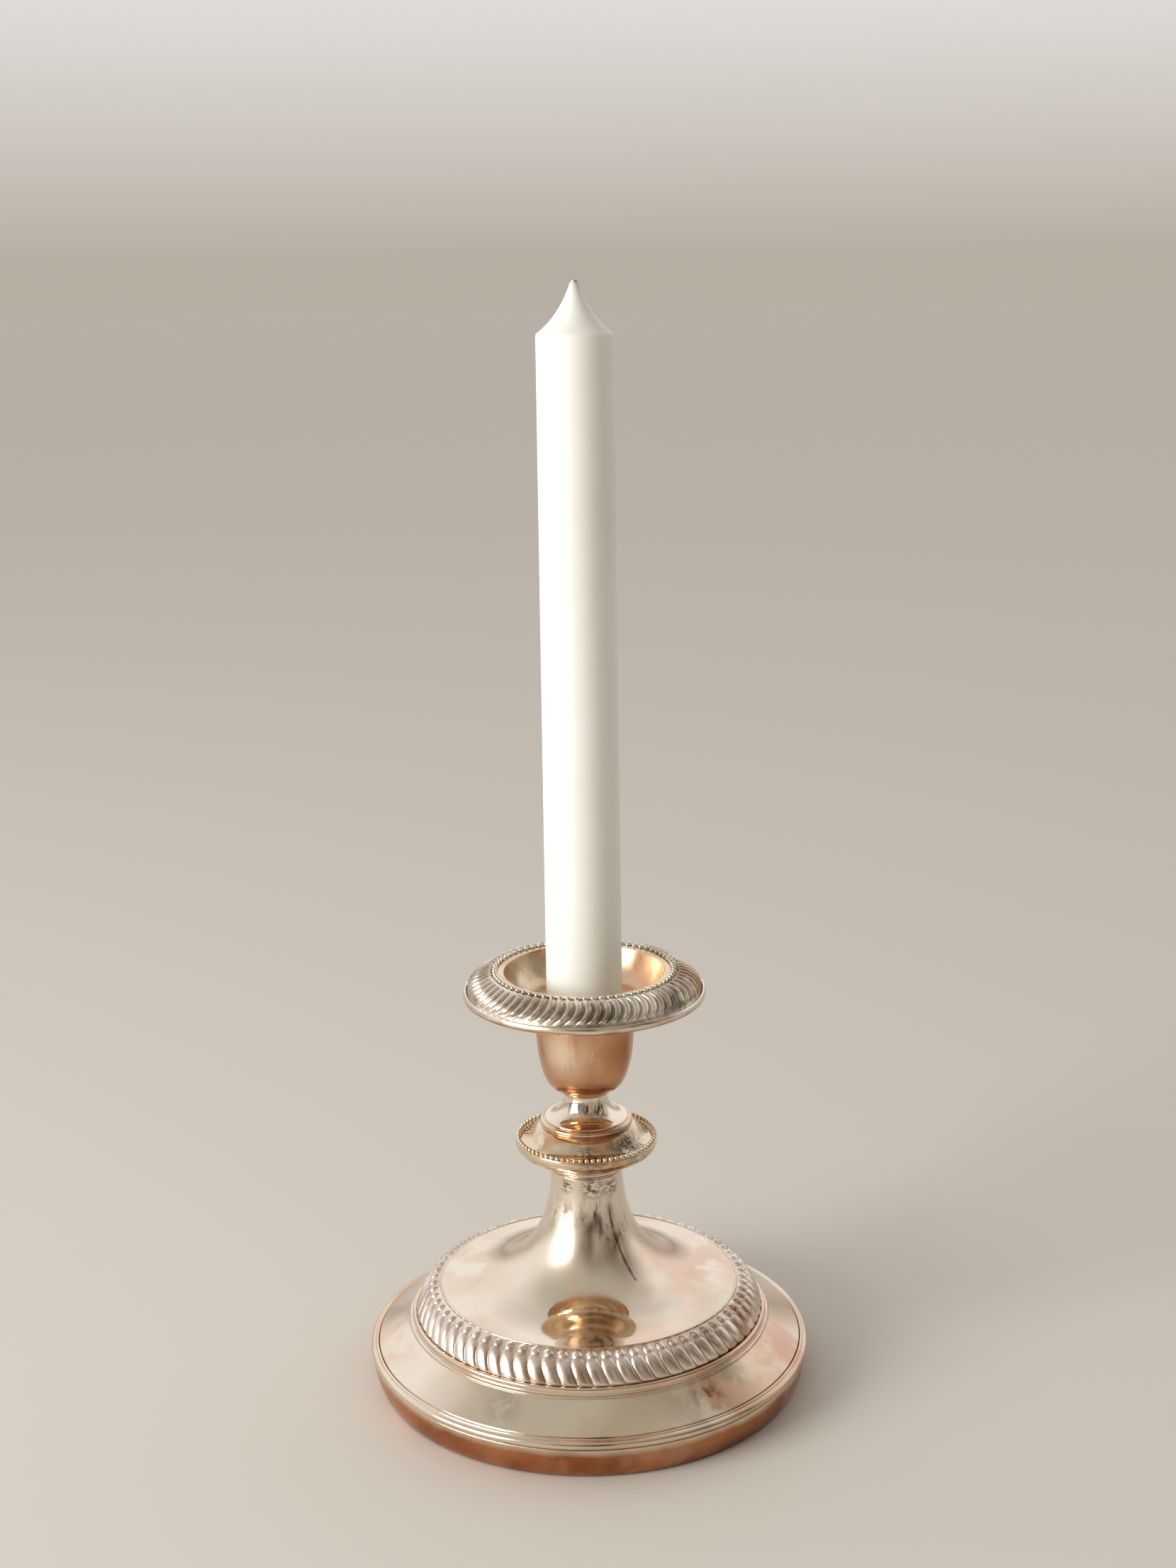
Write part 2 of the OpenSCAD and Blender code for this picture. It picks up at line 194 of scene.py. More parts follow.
def eased(path: Path, radius: float, closed: bool = False, limit: float = 24.0) -> Path:
    """The path with a small round on each sharp corner.

    Args:
        path: the points.
        radius: radius of the rounds, less where a stretch is too short for it.
        closed: whether the last point runs on to the first.
        limit: the turn, in degrees, above which a corner is sharp.

    Returns:
        The points with four for each sharp corner.
    """
    result: Path = []
    count = len(path)
    for i, here in enumerate(path):
        if not closed and i in (0, count - 1):
            result.append(here)
            continue
        corner = Vector(here)
        back = Vector(path[i - 1]) - corner
        on = Vector(path[(i + 1) % count]) - corner
        turn_angle = math.degrees(math.pi - back.angle(on))
        if turn_angle < limit:
            result.append(here)
            continue
        room = EASE_SHARE * min(back.length, on.length)
        cut = min(radius * math.tan(math.radians(turn_angle) / 2), room)
        start = corner + back.normalized() * cut
        stop = corner + on.normalized() * cut
        result.extend(bend(tuple(start), here, tuple(stop), EASE_STEPS))
    return result


def wall(path: Path, thickness: float, edge: float = 0.25) -> Path:
    """The closed outline of a sheet that follows a path.

    Args:
        path: one face of the sheet.
        thickness: thickness of the sheet, on the left of the path.
        edge: radius of the rounds on its corners.

    Returns:
        The outline, without a repeated last point.
    """
    return eased(path + moved(path, thickness)[::-1], edge, closed=True)


# ---------------------------------------------------------------- workbench


def put_down() -> None:
    """Leaves edit mode and deselects every object."""
    if bpy.context.object and bpy.context.object.mode != "OBJECT":
        bpy.ops.object.mode_set(mode="OBJECT")
    bpy.ops.object.select_all(action="DESELECT")


def take_up(obj: bpy.types.Object) -> None:
    """Selects one object and makes it the active one.

    Args:
        obj: the object.
    """
    put_down()
    obj.select_set(True)
    bpy.context.view_layer.objects.active = obj


def weld() -> None:
    """Merges doubles and points the faces outwards, in edit mode."""
    bpy.ops.mesh.select_all(action="SELECT")
    bpy.ops.mesh.remove_doubles(threshold=DOUBLES * MM)
    bpy.ops.mesh.normals_make_consistent(inside=False)


def turn(name: str, outline: Path, steps: int = ROUND, closed: bool = True) -> bpy.types.Object:
    """Draws an outline beside the axis and spins it into a turned piece.

    Args:
        name: name of the piece.
        outline: points as radius and height, in millimetres.
        steps: number of steps round the axis.
        closed: whether the outline runs back to its first point. An open one
            starts and ends on the axis.

    Returns:
        The turned piece.
    """
    put_down()
    bpy.ops.mesh.primitive_plane_add(size=MM)
    obj = bpy.context.object
    obj.name = name
    obj.data.name = name
    bpy.ops.object.mode_set(mode="EDIT")
    bpy.ops.mesh.select_all(action="SELECT")
    bpy.ops.mesh.merge(type="CENTER")
    first = outline[0]
    bpy.ops.transform.translate(value=(first[0] * MM, 0, first[1] * MM))
    stops = outline + [first] if closed else outline
    for a, b in zip(stops, stops[1:]):
        step = ((b[0] - a[0]) * MM, 0, (b[1] - a[1]) * MM)
        bpy.ops.mesh.extrude_vertices_move(TRANSFORM_OT_translate={"value": step})
    bpy.ops.mesh.select_all(action="SELECT")
    bpy.ops.mesh.spin(steps=steps, angle=FULL_TURN, center=(0, 0, 0), axis=(0, 0, 1))
    weld()
    bpy.ops.object.mode_set(mode="OBJECT")
    return obj


def join(parts: Sequence[bpy.types.Object], name: str) -> bpy.types.Object:
    """Joins several meshes into one piece.

    Args:
        parts: the meshes, the first of which the others are joined to.
        name: name of the piece.

    Returns:
        The joined piece.
    """
    take_up(parts[0])
    for part in parts[1:]:
        part.select_set(True)
    bpy.ops.object.join()
    obj = bpy.context.object
    obj.name = name
    obj.data.name = name
    return obj


def mark_hollows(obj: bpy.types.Object, gain: float, passes: int) -> None:
    """Writes how hollow the surface is into the attribute "hollow".

    Dirt and, on struck borders and beads, painted shade gather where it is above 0, and polish wears through
    where it is below.

    Args:
        obj: the piece.
        gain: how strongly a bend counts.
        passes: how many times the values are spread to their neighbours.
    """
    mesh = obj.data
    count = len(mesh.vertices)
    place = np.zeros(count * 3)
    mesh.vertices.foreach_get("co", place)
    place = place.reshape(-1, 3)
    normal = np.zeros(count * 3)
    mesh.vertices.foreach_get("normal", normal)
    normal = normal.reshape(-1, 3)
    ends = np.zeros(len(mesh.edges) * 2, int)
    mesh.edges.foreach_get("vertices", ends)
    a, b = ends.reshape(-1, 2).T
    span = place[b] - place[a]
    length = np.maximum(np.linalg.norm(span, axis=1), SHORTEST)
    lift_a = np.sum(span * normal[a], axis=1) / length
    lift_b = -np.sum(span * normal[b], axis=1) / length
    degree = np.maximum(np.bincount(a, minlength=count) + np.bincount(b, minlength=count), 1)
    value = (np.bincount(a, lift_a, count) + np.bincount(b, lift_b, count)) / degree
    for _ in range(passes):
        around = (np.bincount(a, value[b], count) + np.bincount(b, value[a], count)) / degree
        value = (value + around) / 2
    attribute = mesh.attributes.new("hollow", "FLOAT", "POINT")
    attribute.data.foreach_set("value", np.clip(value * gain, -1, 1).astype(np.float32))


def finished(
    obj: bpy.types.Object, gain: float, passes: int = 2, angle: float = 40.0
) -> bpy.types.Object:
    """Marks a piece's hollows and shades it smooth but for its sharp edges.

    Args:
        obj: the piece.
        gain: how strongly a bend counts as a hollow.
        passes: how many times the hollows are spread to their neighbours.
        angle: edges sharper than this many degrees stay crisp.

    Returns:
        The piece.
    """
    mark_hollows(obj, gain, passes)
    take_up(obj)
    bpy.ops.object.shade_smooth_by_angle(angle=math.radians(angle))
    return obj


# ---------------------------------------------------------------- shaders


def linear(code: str) -> Colour:
    """Turns an sRGB colour into the linear one that a shader takes.

    Args:
        code: the colour, written as #RRGGBB.

    Returns:
        The linear colour, opaque.
    """
    parts = [int(code[i : i + 2], 16) / 255 for i in (1, 3, 5)]
    light = [p / 12.92 if p <= 0.04045 else ((p + 0.055) / 1.055) ** 2.4 for p in parts]
    return (light[0], light[1], light[2], 1.0)


class Nodes:
    """A node tree while it is being laid out.

    Attributes:
        tree: the tree.
    """

    def __init__(self, tree: bpy.types.NodeTree) -> None:
        """Starts on a tree, which is emptied."""
        self.tree = tree
        tree.nodes.clear()

    def add(
        self, kind: str, inputs: Mapping[str | int, Any] | None = None, **settings: Any
    ) -> bpy.types.Node:
        """Adds a node with its settings, values and links.

        Args:
            kind: Blender's name for the node.
            inputs: socket name or number to a value, or to what is linked to
                it: an output, or a node, whose first output is taken.
            **settings: the node's own properties.

        Returns:
            The node.
        """
        node = self.tree.nodes.new(kind)
        for name, value in settings.items():
            setattr(node, name, value)
        for key, value in (inputs or {}).items():
            source = value.outputs[0] if isinstance(value, bpy.types.Node) else value
            if isinstance(source, bpy.types.NodeSocket):
                self.tree.links.new(source, node.inputs[key])
            else:
                node.inputs[key].default_value = source
        return node

    def over(self, below: Any, above: str, *shares: Any) -> bpy.types.NodeSocket:
        """Lays one colour over another.

        Args:
            below: the colour below, as #RRGGBB or an output.
            above: the colour on top, as #RRGGBB.
            *shares: how much of the top one shows, from 0 to 1. Several are
                multiplied together.

        Returns:
            The mixed colour.
        """
        share = shares[0]
        for other in shares[1:]:
            share = self.add("ShaderNodeMath", {0: share, 1: other}, operation="MULTIPLY")
        first = linear(below) if isinstance(below, str) else below
        colours = {0: share, 6: first, 7: linear(above)}
        return self.add("ShaderNodeMix", colours, data_type="RGBA").outputs[2]


class Shader(Nodes):
    """A material while its nodes are being laid out.

    Attributes:
        material: the material.
        place: the point on the object, in metres from its origin.
    """

    def __init__(self, name: str) -> None:
        """Starts a material that holds its output and the point on the object.

        Args:
            name: name of the material.
        """
        self.material = bpy.data.materials.new(name)
        self.material.use_nodes = True
        super().__init__(self.material.node_tree)
        self.output = self.add("ShaderNodeOutputMaterial")
        self.place = self.add("ShaderNodeTexCoord").outputs["Object"]

    def turned_place(self, across: float) -> bpy.types.Node:
        """A point by its radius, height and turn, so that a pattern runs round the axis.

        Args:
            across: how fast the pattern changes round the axis, in metres a radian.

        Returns:
            The node whose output is the point.
        """
        axes = self.add("ShaderNodeSeparateXYZ", {0: self.place}).outputs
        squares = [
            self.add("ShaderNodeMath", {0: axis, 1: axis}, operation="MULTIPLY") for axis in axes[:2]
        ]
        total = self.add("ShaderNodeMath", {0: squares[0], 1: squares[1]})
        radius = self.add("ShaderNodeMath", {0: total, 1: 0.5}, operation="POWER")
        angle = self.add("ShaderNodeMath", {0: axes[1], 1: axes[0]}, operation="ARCTAN2")
        turned = self.add("ShaderNodeMath", {0: angle, 1: across}, operation="MULTIPLY")
        return self.add("ShaderNodeCombineXYZ", {0: radius, 1: turned, 2: axes[2]})

    def cloud(
        self, size: float, start: float, stop: float, detail: float = 3.0, where: Any = None
    ) -> bpy.types.Node:
        """A soft random mask.

        Args:
            size: size of the clouds, in millimetres.
            start: noise value at which the mask is 0.
            stop: noise value at which it is 1.
            detail: how many finer layers the noise has.
            where: the vector that the pattern reads, if not the point on the
                object.

        Returns:
            The node whose output is the mask, from 0 to 1.
        """
        vector = self.place if where is None else where
        noise = self.add(
            "ShaderNodeTexNoise",
            {"Vector": vector, "Scale": 1 / (size * MM), "Detail": detail, "Roughness": 0.55},
        )
        return self.add(
            "ShaderNodeMapRange",
            {"Value": noise, "From Min": start, "From Max": stop},
            interpolation_type="SMOOTHSTEP",
        )

    def near(self, spot: Vector, spread: float) -> bpy.types.Node:
        """A mask that is 1 at a point on the object and fades to 0 round it.

        Args:
            spot: the point, in millimetres.
            spread: how far the mask reaches, in millimetres.

        Returns:
            The node whose output is the mask.
        """
        away = self.add("ShaderNodeVectorMath", {0: self.place, 1: spot * MM}, operation="DISTANCE")
        return self.add(
            "ShaderNodeMapRange",
            {"Value": away.outputs["Value"], "From Max": spread * MM, "To Min": 1.0, "To Max": 0.0},
            interpolation_type="SMOOTHSTEP",
        )

    def spun(self, lines: float, waves: float) -> bpy.types.Node:
        """The normal of spun sheet: faint tool lines round the axis and a slow unevenness.

        Real tool lines are too fine to show, so they are drawn 0.7 mm apart.

        Args:
            lines: depth of the tool lines, in millimetres.
            waves: depth of the unevenness, in millimetres, about 14 mm across.

        Returns:
            The node whose output is the normal.
        """
        around = self.turned_place(0.004)
        ring = self.add(
            "ShaderNodeTexNoise", {"Vector": around, "Scale": 1 / (0.7 * MM), "Detail": 2.0}
        )
        slow = self.add(
            "ShaderNodeTexNoise", {"Vector": self.place, "Scale": 1 / (14 * MM), "Detail": 1.0}
        )
        wavy = self.add("ShaderNodeBump", {"Strength": 1.0, "Distance": waves * MM, "Height": slow})
        return self.add(
            "ShaderNodeBump",
            {"Strength": 0.25, "Distance": lines * MM, "Height": ring, "Normal": wavy},
        )

    def close(self, **inputs: Any) -> bpy.types.Material:
        """Adds the surface with its inputs and links it to the output.

        Args:
            **inputs: inputs of the surface, with "_" for each space in a name.

        Returns:
            The finished material.
        """
        named = {key.replace("_", " "): value for key, value in inputs.items()}
        surface = self.add("ShaderNodeBsdfPrincipled", named)
        self.tree.links.new(surface.outputs[0], self.output.inputs[0])
        return self.material


# ---------------------------------------------------------------- wear


@dataclass(frozen=True)
class StainAndPaintedLight:
    """A blemish, or a patch of painted shade or painted reflection, at one place on the surface.

    Attributes:
        spot: place on the object, in millimetres.
        spread: how far it reaches, in millimetres.
        colour: its colour.
        strength: how much of the metal it hides at its heart.
        grain: size of the specks that it breaks into, in millimetres.
        drawn: how many times taller than wide the specks are.
        bare: how much metal shows between the specks: most of it is hidden at
            0, half of it at 0.5, and only a few specks are left above 1.
    """

    spot: tuple[float, float, float]
    spread: float
    colour: str
    strength: float = 0.8
    grain: float = 4.0
    drawn: float = 1.0
    bare: float = 0.5

    def lay(self, shader: Shader, tint: bpy.types.NodeSocket) -> bpy.types.NodeSocket:
        """Lays the blemish or painted patch over a colour.

        Args:
            shader: the material.
            tint: the colour.

        Returns:
            The colour with the blemish on it.
        """
        heart = shader.near(Vector(self.spot), self.spread)
        drawn = shader.add("ShaderNodeMapping", {"Vector": shader.place, "Scale": (1.0, 1.0, 1 / self.drawn)})
        middle = 0.35 + 0.3 * self.bare
        specks = shader.cloud(self.grain, middle - 0.07, middle + 0.07, where=drawn)
        return shader.over(tint, self.colour, heart, specks, self.strength)


@dataclass(frozen=True)
class ReflectedStreak:
    """A thin dark line down the metal: a painted reflection.

    Attributes:
        start: where it starts, seen from above, in millimetres.
        stop: where it ends.
        width: its width.
        colour: its colour.
        strength: how much of the metal it hides, from 0 to 1.
        soft_end: length over which it fades at each end, on either side.
    """

    start: Point
    stop: Point
    width: float = 0.9
    colour: str = "#5A3B20"
    strength: float = 0.8
    soft_end: float = 0.3

    def lay(self, shader: Shader, tint: bpy.types.NodeSocket) -> bpy.types.NodeSocket:
        """Lays the line over a colour.

        Args:
            shader: the material.
            tint: the colour.

        Returns:
            The colour with the line on it.
        """
        start, stop = Vector((*self.start, 0)), Vector((*self.stop, 0))
        along = (stop - start).normalized()
        across = Vector((-along.y, along.x, 0))
        dots = [
            shader.add("ShaderNodeVectorMath", {0: shader.place, 1: way}, operation="DOT_PRODUCT").outputs[1]
            for way in (across, along)
        ]
        aside = shader.add("ShaderNodeMath", {0: dots[0], 1: -across.dot(start) * MM})
        off = shader.add("ShaderNodeMath", {0: aside}, operation="ABSOLUTE")
        first, last, soft = along.dot(start), along.dot(stop), self.soft_end
        edges = (
            (off, self.width * 0.62, self.width * 0.3),
            (dots[1], first - soft, first + soft),
            (dots[1], last + soft, last - soft),
        )
        shares = [
            shader.add("ShaderNodeMapRange", {"Value": value, "From Min": a * MM, "From Max": b * MM})
            for value, a, b in edges
        ]
        broken = shader.cloud(2.5, 0.25, 0.5)
        return shader.over(tint, self.colour, *shares, broken, self.strength)


# ---------------------------------------------------------------- finishes


@dataclass(frozen=True)
class WornPlate:
    """Electroplated silver over copper, polished thin: warm, clouded and glossy.

    The copper blushes through where the plate is thin, a grey-green haze lies
    where it is thick, and dirt stays in the hollows. Above dull_above, in
    millimetres, the plate has lost some of its polish.
    """

    name: str = "worn_silver_plate"
    bright: str = "#EBDFCE"
    blush: str = "#DDAF90"
    haze: str = "#C9C3B1"
    dirt: str = "#3A2C1E"
    blush_share: float = 0.42
    haze_share: float = 0.7
    edge_share: float = 0.35
    blush_mm: float = 34.0
    haze_mm: float = 40.0
    gloss: float = 0.13
    dirt_share: float = 0.85
    dull: float = 0.2
    dull_above: float | None = None
    stains_and_painted_light: tuple[StainAndPaintedLight, ...] = ()
    reflected_streaks: tuple[ReflectedStreak, ...] = ()

    def make(self) -> bpy.types.Material:
        """Builds the material.

        Returns:
            The material.
        """
        shader = Shader(self.name)
        thin = shader.cloud(self.blush_mm, 0.44, 0.66)
        thick = shader.cloud(self.haze_mm, 0.48, 0.70, 2.0)
        tint = shader.over(self.bright, self.haze, thick, self.haze_share)
        tint = shader.over(tint, self.blush, thin, self.blush_share)
        hollow = shader.add("ShaderNodeAttribute", attribute_name="hollow").outputs["Fac"]
        worn = shader.add("ShaderNodeMapRange", {"Value": hollow, "From Min": -0.05, "From Max": -0.5})
        tint = shader.over(tint, self.blush, worn, self.edge_share)
        for mark in self.stains_and_painted_light + self.reflected_streaks:
            tint = mark.lay(shader, tint)
        dirty = shader.add("ShaderNodeMapRange", {"Value": hollow, "From Min": 0.05, "From Max": 0.45})
        patchy = shader.cloud(5.0, 0.30, 0.62)
        tint = shader.over(tint, self.dirt, dirty, patchy, self.dirt_share)
        smear = shader.cloud(9.0, 0.35, 0.75, 4.0)
        rough = shader.add(
            "ShaderNodeMapRange", {"Value": smear, "To Min": self.gloss * 0.8, "To Max": self.gloss * 1.7}
        )
        if self.dull_above is not None:
            height = shader.add("ShaderNodeSeparateXYZ", {0: shader.place}).outputs[2]
            start, stop = self.dull_above * MM, (self.dull_above + 4) * MM
            rough = shader.add(
                "ShaderNodeMapRange",
                {"Value": height, "From Min": start, "From Max": stop, "To Min": rough, "To Max": self.dull},
            )
        return shader.close(
            Base_Color=tint, Metallic=1.0, Roughness=rough, Normal=shader.spun(0.04, 0.10)
        )


@dataclass(frozen=True)
class StruckPlate:
    """A die-struck border in silver plate: bright high points over dull valleys, darkened partly by tarnish
    and partly by painted shade.
    """

    name: str = "struck_silver_plate"
    bright: str = "#EEE2D0"
    # Colour of the valleys: tarnish and painted shade.
    valley: str = "#4A3728"
    tarnish: str = "#B3967C"
    valley_shade_share: float = 0.85
    tarnish_share: float = 0.6
    gloss: float = 0.2
    valley_gloss: float = 0.55
    stains_and_painted_light: tuple[StainAndPaintedLight, ...] = ()

    def make(self) -> bpy.types.Material:
        """Builds the material.

        Returns:
            The material.
        """
        shader = Shader(self.name)
        old = shader.cloud(12.0, 0.42, 0.66)
        tint = shader.over(self.bright, self.tarnish, old, self.tarnish_share)
        for stain_and_light in self.stains_and_painted_light:
            tint = stain_and_light.lay(shader, tint)
        hollow = shader.add("ShaderNodeAttribute", attribute_name="hollow").outputs["Fac"]
        # Painted shade, with some tarnish: the valleys, the rims round the balls and the gaps between beads
        # are darkened.
        shaded_valleys = shader.add("ShaderNodeMapRange", {"Value": hollow, "From Min": 0.0, "From Max": 0.5})
        tint = shader.over(tint, self.valley, shaded_valleys, self.valley_shade_share)
        rough = shader.add(
            "ShaderNodeMapRange", {"Value": shaded_valleys, "To Min": self.gloss, "To Max": self.valley_gloss}
        )
        grain = shader.add(
            "ShaderNodeTexNoise", {"Vector": shader.place, "Scale": 1 / (0.9 * MM), "Detail": 3.0}
        )
        bump = shader.add("ShaderNodeBump", {"Strength": 0.3, "Distance": 0.05 * MM, "Height": grain})
        return shader.close(Base_Color=tint, Metallic=1.0, Roughness=rough, Normal=bump)


@dataclass(frozen=True)
class BareCopper:
    """Copper with its plate worn off: satin, orange and unevenly browned.

    Above fade_from a skin of silver is left, which runs out downwards to
    fade_to in an edge as ragged as that, all in millimetres.
    """

    name: str = "bare_copper"
    copper: str = "#C98A5E"
    brown: str = "#8A4A22"
    rose: str = "#D9A58A"
    silver: str = "#DDD0B8"
    dirt: str = "#2E1C10"
    brown_share: float = 0.75
    rose_share: float = 0.5
    dirt_share: float = 0.8
    gloss: float = 0.24
    fade_from: float | None = None
    fade_to: float = 0.0
    ragged: float = 2.4
    stains_and_painted_light: tuple[StainAndPaintedLight, ...] = ()

    def make(self) -> bpy.types.Material:
        """Builds the material.

        Returns:
            The material.
        """
        shader = Shader(self.name)
        old = shader.cloud(18.0, 0.40, 0.66)
        fresh = shader.cloud(11.0, 0.46, 0.70)
        tint = shader.over(self.copper, self.brown, old, self.brown_share)
        tint = shader.over(tint, self.rose, fresh, self.rose_share)
        if self.fade_from is not None:
            tint = shader.over(tint, self.silver, self.skin(shader))
        for stain_and_light in self.stains_and_painted_light:
            tint = stain_and_light.lay(shader, tint)
        hollow = shader.add("ShaderNodeAttribute", attribute_name="hollow").outputs["Fac"]
        dirty = shader.add("ShaderNodeMapRange", {"Value": hollow, "From Min": 0.05, "From Max": 0.4})
        tint = shader.over(tint, self.dirt, dirty, self.dirt_share)
        smear = shader.cloud(7.0, 0.35, 0.75, 4.0)
        rough = shader.add(
            "ShaderNodeMapRange", {"Value": smear, "To Min": self.gloss * 0.8, "To Max": self.gloss * 1.5}
        )
        return shader.close(
            Base_Color=tint, Metallic=1.0, Roughness=rough, Normal=shader.spun(0.06, 0.08)
        )

    def skin(self, shader: Shader) -> bpy.types.Node:
        """Where the skin of silver is left.

        Args:
            shader: the material.

        Returns:
            The node whose output is its share, from 0 to 1.
        """
        height = shader.add("ShaderNodeSeparateXYZ", {0: shader.place}).outputs[2]
        noise = shader.add(
            "ShaderNodeTexNoise", {"Vector": shader.place, "Scale": 1 / (10 * MM), "Detail": 4.0}
        )
        lifted = shader.add(
            "ShaderNodeMath", {0: noise, 1: self.ragged * MM, 2: height}, operation="MULTIPLY_ADD"
        )
        start, stop = ((edge + self.ragged / 2) * MM for edge in (self.fade_to, self.fade_from))
        return shader.add("ShaderNodeMapRange", {"Value": lifted, "From Min": start, "From Max": stop})


@dataclass(frozen=True)
class DippedWax:
    """Drawn paraffin and stearin wax: white, a little see-through, with a low sheen."""

    name: str = "white_candle_wax"
    colour: str = "#F3F4EF"
    cloudy: str = "#E9EAE2"

    def make(self) -> bpy.types.Material:
        """Builds the material.

        Returns:
            The material.
        """
        shader = Shader(self.name)
        tint = shader.over(self.colour, self.cloudy, shader.cloud(30.0, 0.35, 0.75), 0.5)
        drawn = shader.add("ShaderNodeMapping", {"Vector": shader.place, "Scale": (1.0, 1.0, 0.12)})
        streaks = shader.add("ShaderNodeTexNoise", {"Vector": drawn, "Scale": 1 / (4 * MM), "Detail": 3.0})
        bump = shader.add("ShaderNodeBump", {"Strength": 0.2, "Distance": 0.08 * MM, "Height": streaks})
        return shader.close(
            Base_Color=tint,
            Roughness=0.42,
            IOR=1.44,
            Subsurface_Weight=0.55,
            Subsurface_Radius=(1.0, 0.95, 0.85),
            Subsurface_Scale=4 * MM,
            Normal=bump,
        )


@dataclass(frozen=True)
class PlaitedCotton:
    """Cotton wick soaked in wax: grey-white, with the plait's slanting ridges."""

    name: str = "waxed_cotton_wick"
    between: str = "#A39D90"
    strands: str = "#DDD9CF"

    def make(self) -> bpy.types.Material:
        """Builds the material.

        Returns:
            The material.
        """
        shader = Shader(self.name)
        plait = shader.add(
            "ShaderNodeTexWave",
            {"Vector": shader.turned_place(0.0006), "Scale": 1 / (2.2 * MM), "Distortion": 1.0},
            bands_direction="DIAGONAL",
        ).outputs["Fac"]
        tint = shader.over(self.between, self.strands, plait)
        bump = shader.add("ShaderNodeBump", {"Strength": 0.8, "Distance": 0.2 * MM, "Height": plait})
        return shader.close(Base_Color=tint, Roughness=0.8, Normal=bump)


@dataclass(frozen=True)
class WoolBaize:
    """Felted green wool: matt, fuzzy and a little lighter where it is rubbed."""

    name: str = "green_wool_baize"
    green: str = "#23402A"
    rubbed: str = "#3C5C40"

    def make(self) -> bpy.types.Material:
        """Builds the material.

        Returns:
            The material.
        """
        shader = Shader(self.name)
        tint = shader.over(self.green, self.rubbed, shader.cloud(18.0, 0.40, 0.70))
        fibre = shader.add(
            "ShaderNodeTexNoise", {"Vector": shader.place, "Scale": 1 / (0.6 * MM), "Detail": 4.0}
        )
        bump = shader.add("ShaderNodeBump", {"Strength": 0.7, "Distance": 0.25 * MM, "Height": fibre})
        return shader.close(
            Base_Color=tint, Roughness=0.95, Sheen_Weight=0.5, Sheen_Roughness=0.5, Normal=bump
        )


@dataclass(frozen=True)
class HiddenMetal:
    """Plain machined or tinned steel, for the fittings inside: grey, with dull spots."""

    name: str
    colour: str
    gloss: float
    spots: str = "#4A4038"

    def make(self) -> bpy.types.Material:
        """Builds the material.

        Returns:
            The material.
        """
        shader = Shader(self.name)
        tint = shader.over(self.colour, self.spots, shader.cloud(3.0, 0.45, 0.70, 4.0), 0.4)
        return shader.close(
            Base_Color=tint, Metallic=1.0, Roughness=self.gloss, Normal=shader.spun(0.08, 0.02)
        )


@dataclass(frozen=True)
class CastFilling:
    """Poured pitch and plaster: tan, gritty and pitted."""

    name: str = "pitch_and_plaster"
    pitch: str = "#9A8566"
    grit: str = "#B8A486"

    def make(self) -> bpy.types.Material:
        """Builds the material.

        Returns:
            The material.
        """
        shader = Shader(self.name)
        gritty = shader.cloud(1.5, 0.35, 0.65, 4.0)
        tint = shader.over(self.pitch, self.grit, gritty)
        bump = shader.add("ShaderNodeBump", {"Strength": 0.6, "Distance": 0.3 * MM, "Height": gritty})
        return shader.close(Base_Color=tint, Roughness=0.9, Normal=bump)


# ---------------------------------------------------------------- fitting


def fit(
    obj: bpy.types.Object,
    body: Body,
    material: bpy.types.Material,
    nodes: Sequence[str],
) -> None:
    """Dresses a finished piece and fixes it to the frame.

    Args:
        obj: the piece, in place.
        body: the body that it rides on.
        material: its finish.
        nodes: the nodes that it stands for.
    """
    obj.data.materials.clear()
    obj.data.materials.append(material)
    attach(obj, body.value)
    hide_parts(*nodes)
    log.info("%s rides on %s and stands for %s", obj.name, body.value, ", ".join(nodes))


def dress(node: str, material: bpy.types.Material) -> None:
    """Gives a node that stays as it is its finish.

    Args:
        node: the node's name.
        material: its finish.
    """
    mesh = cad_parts[node].data
    mesh.materials.clear()
    mesh.materials.append(material)
    log.info("%s keeps its shape and is finished in %s", node, material.name)


# ---------------------------------------------------------------- borders


@dataclass(frozen=True)
class Relief:
    """How a die shapes a strip at one point.

    Attributes:
        rise: height above the strip's valley, in millimetres.
        lean: how far the pattern has leaned round the ring, in degrees.
    """

    rise: np.ndarray
    lean: np.ndarray


